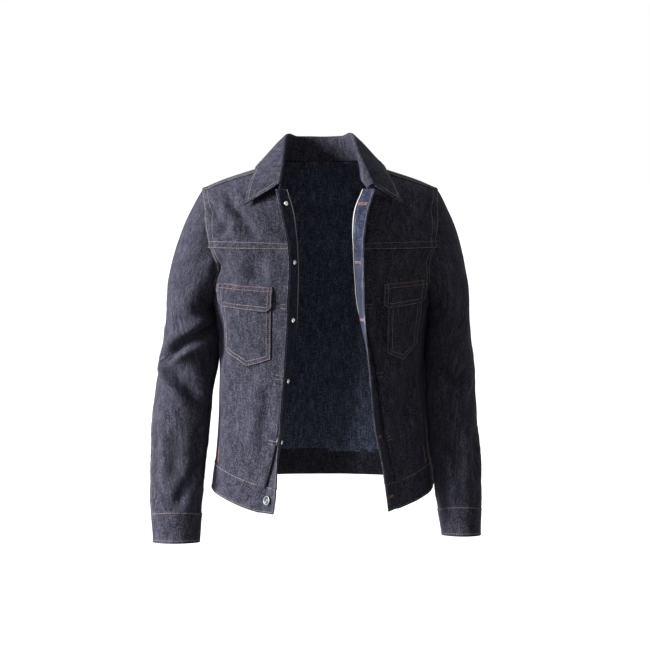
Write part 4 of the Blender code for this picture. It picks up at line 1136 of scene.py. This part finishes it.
pockets, flaps = {}, {}
for side, front in FRONTS.items():
    p, f = POCKETS[side], FLAPS[side]
    width = p.outer - p.inner
    where = patch_where(
        front, p.inner, p.outer, lambda u, p=p: np.interp(u, [0, 0.5, 1], [p.inner_z, p.tip_z, p.outer_z]),
        lambda u, p=p: p.top + 0 * u, wider=0.008,
    )
    pockets[side] = Cloth(f"pocket_patch_{side}", where, (width, 0.100), pocket_lift, "left right bottom")
    pockets[side].make(f"pocket_{side}", FACE, WRONG_SIDE, cell=0.0022)

    def flap_top(u, f=f):
        return mix(f.inner_z, f.outer_z, u)

    def flap_bottom(u, f=f, top=flap_top, width=f.outer - f.inner):
        return top(u) - f.height + np.maximum(f.cut - np.minimum(u, 1 - u) * width, 0.0)

    flaps[side] = Cloth(
        f"flap_cloth_{side}", patch_where(front, f.inner, f.outer, flap_bottom, flap_top),
        (f.outer - f.inner, f.height), flap_lift, "left right bottom top", 0.0018, 0.0004,
    )
    flaps[side].make(f"flap_{side}", FACE, WRONG_SIDE, cell=0.0022)

# ---------------------------------------------------------------- the thread
# Lockstitch in cotton-wrapped thread, eight stitches to 26 mm: sand on the body, rosy beige round the
# pockets, copper along the tops of the flaps and at the buttonholes, navy down the sides.
def thread(name, colour, dark):
    """Twisted thread, a little uneven in colour along its length, with a soft low gloss."""
    made = new_finish(name, Roughness=0.6, Specular_IOR_Level=0.3)
    place = node(made, "TexCoord", {}).outputs["Object"]
    uneven = node(made, "TexNoise", {"Scale": 160.0, "Detail": 2.0}, Vector=place).outputs["Fac"]
    feed(made, Base_Color=ramp(made, uneven, (0.35, dark), (0.60, colour)))
    return made


SAND = thread("sand cotton thread", "#5c544d", "#3c3733")
COPPER = thread("copper cotton thread", "#664238", "#422c26")
ROSE = thread("rosy beige cotton thread", "#625450", "#40373a")
NAVY = thread("navy cotton thread", "#23242c", "#17181f")


def walked(cloth, corners, out=0.0002):
    """Points, normals and lengths walked, along a line between corners in metres of the cloth's cut."""
    steps = [np.array(corners[:1], float)]
    for start, end in zip(corners, corners[1:]):
        count = max(2, math.ceil(math.dist(start, end) / 0.0015))
        steps.append(mix(np.array(start), np.array(end), np.linspace(0, 1, count + 1)[1:, None]))
    u, v = (np.concatenate(steps) / cloth.flat).T
    line, normals = cloth.at(np.clip(u, 0, 1), np.clip(v, 0, 1), out)
    walk = np.concatenate([[0], np.cumsum(np.linalg.norm(np.diff(line, axis=0), axis=1))])
    return line, normals, walk


def sew(name, finish, rows, pitch=0.0033, long=0.0027, wide=0.0011, across=False, out=0.0002, thick=0.0009):
    """One joined piece of single stitches along rows of (cloth, corners); across turns each one square
    to its row, as in a bar tack or a buttonhole's edge."""
    bm = bmesh.new()
    bmesh.ops.create_icosphere(bm, subdivisions=1, radius=0.5)
    ball = np.array([v.co for v in bm.verts])
    sides = np.array([[v.index for v in part.verts] for part in bm.faces])
    bm.free()
    rng = np.random.default_rng(sum(name.encode()))
    blobs = []
    for cloth, corners in rows:
        line, normals, walk = walked(cloth, corners, out)
        at = np.arange(pitch / 2, walk[-1], pitch)
        if not len(at):
            continue
        place, ahead, normal = (
            np.stack([np.interp(where, walk, values[:, axis]) for axis in range(3)], axis=-1)
            for where, values in ((at, line), (at + 0.0005, line), (at, normals))
        )
        normal /= np.linalg.norm(normal, axis=-1, keepdims=True)
        tangent = ahead - place + (np.roll(place, -1, 0) - place) * 1e-6
        tangent -= normal * np.sum(tangent * normal, axis=-1, keepdims=True)
        tangent /= np.linalg.norm(tangent, axis=-1, keepdims=True) + 1e-12
        beside = np.cross(normal, tangent)
        if across:
            tangent, beside = beside, -tangent
        swing = rng.normal(0.09, 0.07, (len(at), 1))
        tangent, beside = tangent + beside * swing, beside - tangent * swing
        size = rng.uniform(0.9, 1.08, (len(at), 1, 1))
        blobs.append(
            place[:, None] + ball[None, :, :1] * size * long * tangent[:, None]
            + ball[None, :, 1:2] * wide * beside[:, None] + ball[None, :, 2:] * thick * normal[:, None]
        )
    blobs = np.concatenate(blobs)
    faces = (sides[None] + np.arange(len(blobs))[:, None, None] * len(ball)).reshape(-1, 3)
    mesh = bpy.data.meshes.new(name)
    mesh.from_pydata(blobs.reshape(-1, 3), [], faces)
    return piece(name, mesh, "denim", finish)


def up_cut(cloth, z, bottom, top):
    """Metres up a cut that runs from the height bottom to top, to the height z."""
    return (z - bottom) / (top - bottom) * cloth.flat[1]


FIRST_ROW = 0.0022      # from a sewn edge to its first row of stitches
TACK_HALF = 0.0028      # from the middle of a pleat's tack to its rows
ARMHOLE_START = 0.300   # up a front's side to where the armhole begins
for side in ("right", "left"):
    yoke, panel, upper, pocket, flap = yokes[side], panels[side], uppers[side], pockets[side], flaps[side]
    tacked = [up_cut(panel, h, CLOTH_END, PANEL_TOP) + half for h in PLEAT_HEIGHTS for half in (-TACK_HALF, TACK_HALF)]
    for name, finish, rows, *spacing in (
        ("yoke", SAND, [
            *yoke.rows("bottom", (FIRST_ROW, 0.0120), 0.002), *yoke.rows("right", (FIRST_ROW, 0.0105), 0.001),
            *yoke.rows("left", (FIRST_ROW,), 0.0, 0.045),
        ]),
        ("front", SAND, panel.rows("right", (FIRST_ROW, 0.0105), ARMHOLE_START, 0.009)),
        ("pleat", SAND, [panel.line((0.0010, up), (0.0165, up)) for up in tacked], 0.0026, 0.0023),
        ("side", NAVY, panel.rows("right", (FIRST_ROW, 0.0085), 0.004, 0.092)),
        ("strip", SAND, strips[side].rows("left", (FIRST_ROW,), 0.004, 0.006)),
        ("facing", SAND, facings[side].rows("left", (0.0024,), 0.004, 0.002)),
        ("sleeve", SAND, upper.rows("left", (FIRST_ROW, 0.0085), 0.010, 0.001)),
        ("sleeve_inner", NAVY, upper.rows("right", (FIRST_ROW,), 0.010, 0.001)),
        ("cuff", SAND, [cuffs[side].line((0.003, 0.003), (0.003, -0.003), (-0.003, -0.003), (-0.003, 0.003),
                                         (0.003, 0.003))]),
        ("pocket", ROSE, [pocket.line((i, -0.003), (i, i), (pocket.flat[0] / 2, i), (-i, i), (-i, -0.003))
                          for i in (0.0018, 0.0078)]),
        ("flap", ROSE, [flap.line((i, -0.002), (i, i), (-i, i), (-i, -0.002)) for i in (0.0020, 0.0080)]),
        ("flap_top", COPPER, flap.rows("top", (0.0020, 0.0080), 0.002, 0.002)),
    ):
        sew(f"{name}_{side}_thread", finish, rows, *spacing)
for name, rows in (
    ("back_yoke", [
        *back_yoke.rows("bottom", (FIRST_ROW, 0.0135)),
        *back_yoke.rows("left", (FIRST_ROW, 0.0105), 0.002, 0.002),
        *back_yoke.rows("right", (FIRST_ROW, 0.0105), 0.002, 0.002),
        *back_yoke.top_ends((FIRST_ROW, 0.0110), 0.0, 0.745),
    ]),
    ("back_armhole", back_panel.top_ends((FIRST_ROW, 0.0105), 0.012, 0.667)),
    ("waistband", [
        waistband.line((0.003, 0.003), (0.003, -0.0025), (-0.003, -0.0025), (-0.003, 0.003), (0.003, 0.003))
    ]),
    ("collar", [collar.line((0.006, 0.050), (0.006, -0.006), (-0.006, -0.006), (-0.006, 0.050))]),
):
    sew(f"{name}_thread", SAND, rows)

# ---------------------------------------------------------------- bar tacks and buttonholes
# Dense satin stitches in copper thread: a tall tack above the waistband at each side seam, and a
# keyhole buttonhole across the left front strip opposite each button, worked through its facing.
FRONT_BUTTONS = [-0.060, -0.156, -0.246, -0.338, -0.433]
WAIST_BUTTON = WAIST_SEAM - WAIST_HEIGHT / 2
HOLE_IN = 0.0150        # from the front edge to a buttonhole's middle


def keyhole(cloth, u, v, turn=1, length=0.015, eye=0.0019, gap=0.0009):
    """The line round a buttonhole centred at u and v, its eye at the end that turn points away from."""
    around = [math.radians(a) for a in range(35, 326, 30)]
    head = [(-length / 2 + eye * (1 - math.cos(a)) - eye, eye * math.sin(a)) for a in around]
    line = [(length / 2, gap), *head, (length / 2, -gap), (length / 2, gap)]
    return cloth, [(u + turn * x, v + y) for x, y in line]


holes, outer_holes = [], []
left_facing, left_strip, left_yoke = facings["left"], strips["left"], yokes["left"]
for z in FRONT_BUTTONS:
    holes.append(keyhole(left_facing, HOLE_IN, up_cut(left_facing, z, WAIST_SEAM, NECK_FRONT_Z)))
    if z < YOKE_SEAM:
        outer_holes.append(keyhole(left_strip, HOLE_IN, up_cut(left_strip, z, CLOTH_END, STRIP_TOP)))
up = up_cut(left_yoke, FRONT_BUTTONS[0], YOKE_SEAM, NECK_FRONT_Z) * YOKE_NECK * (1 - YOKE_LAP)
outer_holes.append(keyhole(left_yoke, 0.0200, up + YOKE_LAP * left_yoke.flat[1]))
outer_holes.append(keyhole(waistband, waistband.flat[0] - HOLE_IN, waistband.flat[1] / 2, -1))
sew("buttonhole_thread", COPPER, holes + outer_holes, 0.00075, 0.0019, 0.0010, across=True, out=0.0003)

tacks = []
for side in ("right", "left"):
    tacks += [panels[side].line((u, 0.008), (u, 0.036)) for u in (-0.0072, -0.0032)]
    tacks += [pockets[side].line((u, -0.010), (u, -0.002)) for u in (0.0035, -0.0035)]
sew("bar_tack_thread", COPPER, tacks, 0.0008, 0.0022, 0.0010, across=True, out=0.0003)


# ---------------------------------------------------------------- the buttons and rivets
# Plain shank buttons of brass with an antique nickel finish, 17 mm across: a pressed cap with a rolled
# rim round a dished middle. Each is riveted through the cloth to a small domed back.
BUTTON_FROM_EDGE = 0.0145
WAIST_BUTTON_FROM_EDGE = 0.0185


def plated(name, colour, dark, rough):
    """Nickel over pressed brass, tumbled so that hollows stay dark and raised rims are rubbed bright."""
    made = new_finish(name, Metallic=1.0)
    place = node(made, "TexCoord", {}).outputs["Object"]
    worn = node(made, "TexNoise", {"Scale": 420.0, "Detail": 3.0}, Vector=place).outputs["Fac"]
    raised = node(made, "Attribute", {"attribute_name": "raised"}).outputs["Fac"]
    rubbed = node(made, "Math", {"operation": "MULTIPLY_ADD", 1: 0.7}, n0=raised, n2=worn).outputs[0]
    gloss = node(made, "MapRange", {"To Min": rough + 0.2, "To Max": rough}, Value=rubbed).outputs[0]
    feed(made, Base_Color=ramp(made, rubbed, (0.35, dark), (1.0, colour)), Roughness=gloss)
    return made


NICKEL = plated("antique nickel plate", "#54565a", "#0c0c0d", 0.46)
BRIGHT = plated("bright nickel plate", "#e3dfd8", "#8d8880", 0.22)


def turned(name, replaced, form, p, q, outwards, profile, finish):
    """Spins a profile of (radius, height) about the normal, standing where the CAD's disc stands; outwards
    is -1 where it faces into the garment."""
    middle = mathutils.Vector(np.mean(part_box(replaced), axis=0))
    _, normals = face(form, np.array(p), np.array(q))
    normal = mathutils.Vector(normals * outwards)
    bottom = middle - normal * (abs(profile[-1][1] - profile[0][1]) / 2)
    bm = bmesh.new()
    ring = [bm.verts.new((radius, 0, height)) for radius, height in profile]
    edges = [bm.edges.new(pair) for pair in zip(ring, ring[1:])]
    bmesh.ops.spin(bm, geom=ring + edges, cent=(0, 0, 0), axis=(0, 0, 1), angle=math.tau, steps=28, use_merge=True)
    bmesh.ops.remove_doubles(bm, verts=bm.verts, dist=1e-6)
    bmesh.ops.recalc_face_normals(bm, faces=bm.faces)
    tops = [v.co.z for v in bm.verts]
    raised = [max(0.0, (z - min(tops)) / (max(tops) - min(tops))) ** 3 for z in tops]
    place = mathutils.Matrix.Translation(bottom) @ normal.to_track_quat("Z", "Y").to_matrix().to_4x4()
    bmesh.ops.transform(bm, verts=bm.verts, matrix=place)
    mesh = bpy.data.meshes.new(name)
    bm.to_mesh(mesh)
    bm.free()
    mesh.attributes.new("raised", "FLOAT", "POINT").data.foreach_set("value", raised)
    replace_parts(piece(name, mesh, "nickel", finish), replaced)


CAP = [(0, 0.0022), (0.0016, 0.0021), (0.0024, 0.0013), (0.0032, 0.0010), (0.0046, 0.0011), (0.0055, 0.0015),
       (0.0059, 0.0027), (0.0069, 0.0031), (0.0078, 0.0030), (0.0085, 0.0023), (0.0085, 0.0016), (0.0078, 0.0010),
       (0.0048, 0.0007), (0.0045, -0.0002), (0, -0.0002)]
BACK = [(0, 0.0007), (0.0009, 0.0008), (0.0014, 0.0013), (0.0024, 0.0014), (0.0034, 0.0010), (0.0040, 0.0004),
        (0.0040, -0.0001), (0, -0.0001)]
right = FRONTS["right"].form
places = [(f"front_{i}", right, STRIP_WIDTH - BUTTON_FROM_EDGE, z) for i, z in enumerate(FRONT_BUTTONS, 1)]
places.append(("waist", right, STRIP_WIDTH - WAIST_BUTTON_FROM_EDGE, WAIST_BUTTON))
for side, arm in ARMS.items():
    places.append((f"cuff_{side}", arm.cuff_form, CUFF_START + 10.0, (arm.rows[-1].z + arm.rows[CUFF_ROW].z) / 2))
for name, *place in places:
    turned(f"shank_button_{name}", f"button_{name}", *place, 1, CAP, NICKEL)
    turned(f"rivet_back_{name}", f"rivet_{name}", *place, -1, BACK, BRIGHT)

# ---------------------------------------------------------------- the room
# A plain white floor under a surround that is white to look at and glows weakly, most from above. One
# large light stands at the wearer's right, and a narrow one in front is turned on the right cuff.
WHITE = (1, 1, 1, 1)
paint = new_finish(
    "matt white paint", Base_Color=linear("#8a8a8a"), Roughness=0.9, Emission_Color=WHITE, Emission_Strength=1.0
)
bm = bmesh.new()
bmesh.ops.create_grid(bm, x_segments=1, y_segments=1, size=60.0)
bmesh.ops.translate(bm, verts=bm.verts, vec=(0, 0, -1.45))
mesh = bpy.data.meshes.new("floor")
bm.to_mesh(mesh)
bm.free()
mesh.materials.append(paint)
floor = bpy.data.objects.new("floor", mesh)
bpy.context.collection.objects.link(floor)
floor.visible_diffuse = False

scene = bpy.context.scene
scene.view_settings.view_transform = "Standard"
world = bpy.data.worlds.new("white surround")
world.use_nodes = True
surround = world.node_tree.nodes["Background"]
surround.inputs["Color"].default_value = WHITE
direction = node(world, "TexCoord", {}).outputs["Generated"]
upwards = {"operation": "DOT_PRODUCT", 1: (-0.45, -0.20, 0.87)}
towards = node(world, "VectorMath", upwards, n0=direction).outputs["Value"]
strength = {"From Min": -1.0, "From Max": 1.0, "To Min": 0.12, "To Max": 1.16}
glow = node(world, "MapRange", strength, Value=towards).outputs[0]
seen = node(world, "LightPath", {}).outputs["Is Camera Ray"]
world.node_tree.links.new(surround.inputs["Strength"], node(world, "Mix", {3: 1.0}, n0=seen, n2=glow).outputs[0])
scene.world = world


def stand(name, data, place, target):
    """Puts a light or the camera in its place, turned to the target."""
    thing = bpy.data.objects.new(name, data)
    bpy.context.collection.objects.link(thing)
    thing.location = place
    away = mathutils.Vector(place) - mathutils.Vector(target)
    thing.rotation_euler = away.to_track_quat("Z", "Y").to_euler()
    return thing


key = bpy.data.lights.new("key", "AREA")
key.shape, key.size, key.size_y, key.energy = "RECTANGLE", 1.0, 1.6, 785.0
stand("key", key, (-2.9, -1.15, 0.75), (0, 0, -0.3))
fill = bpy.data.lights.new("low fill", "SPOT")
fill.energy, fill.spot_size, fill.spot_blend, fill.shadow_soft_size = 900.0, math.radians(10), 1.0, 0.3
stand("low fill", fill, (-1.4, -2.4, -0.35), (-0.260, -0.08, -0.60))

lens = bpy.data.cameras.new("camera")
lens.lens, lens.sensor_width = 95.5, 36.0
scene.camera = stand("camera", lens, (0.00875, -3.0, 0.04), (0.00875, 0.0, -0.275))
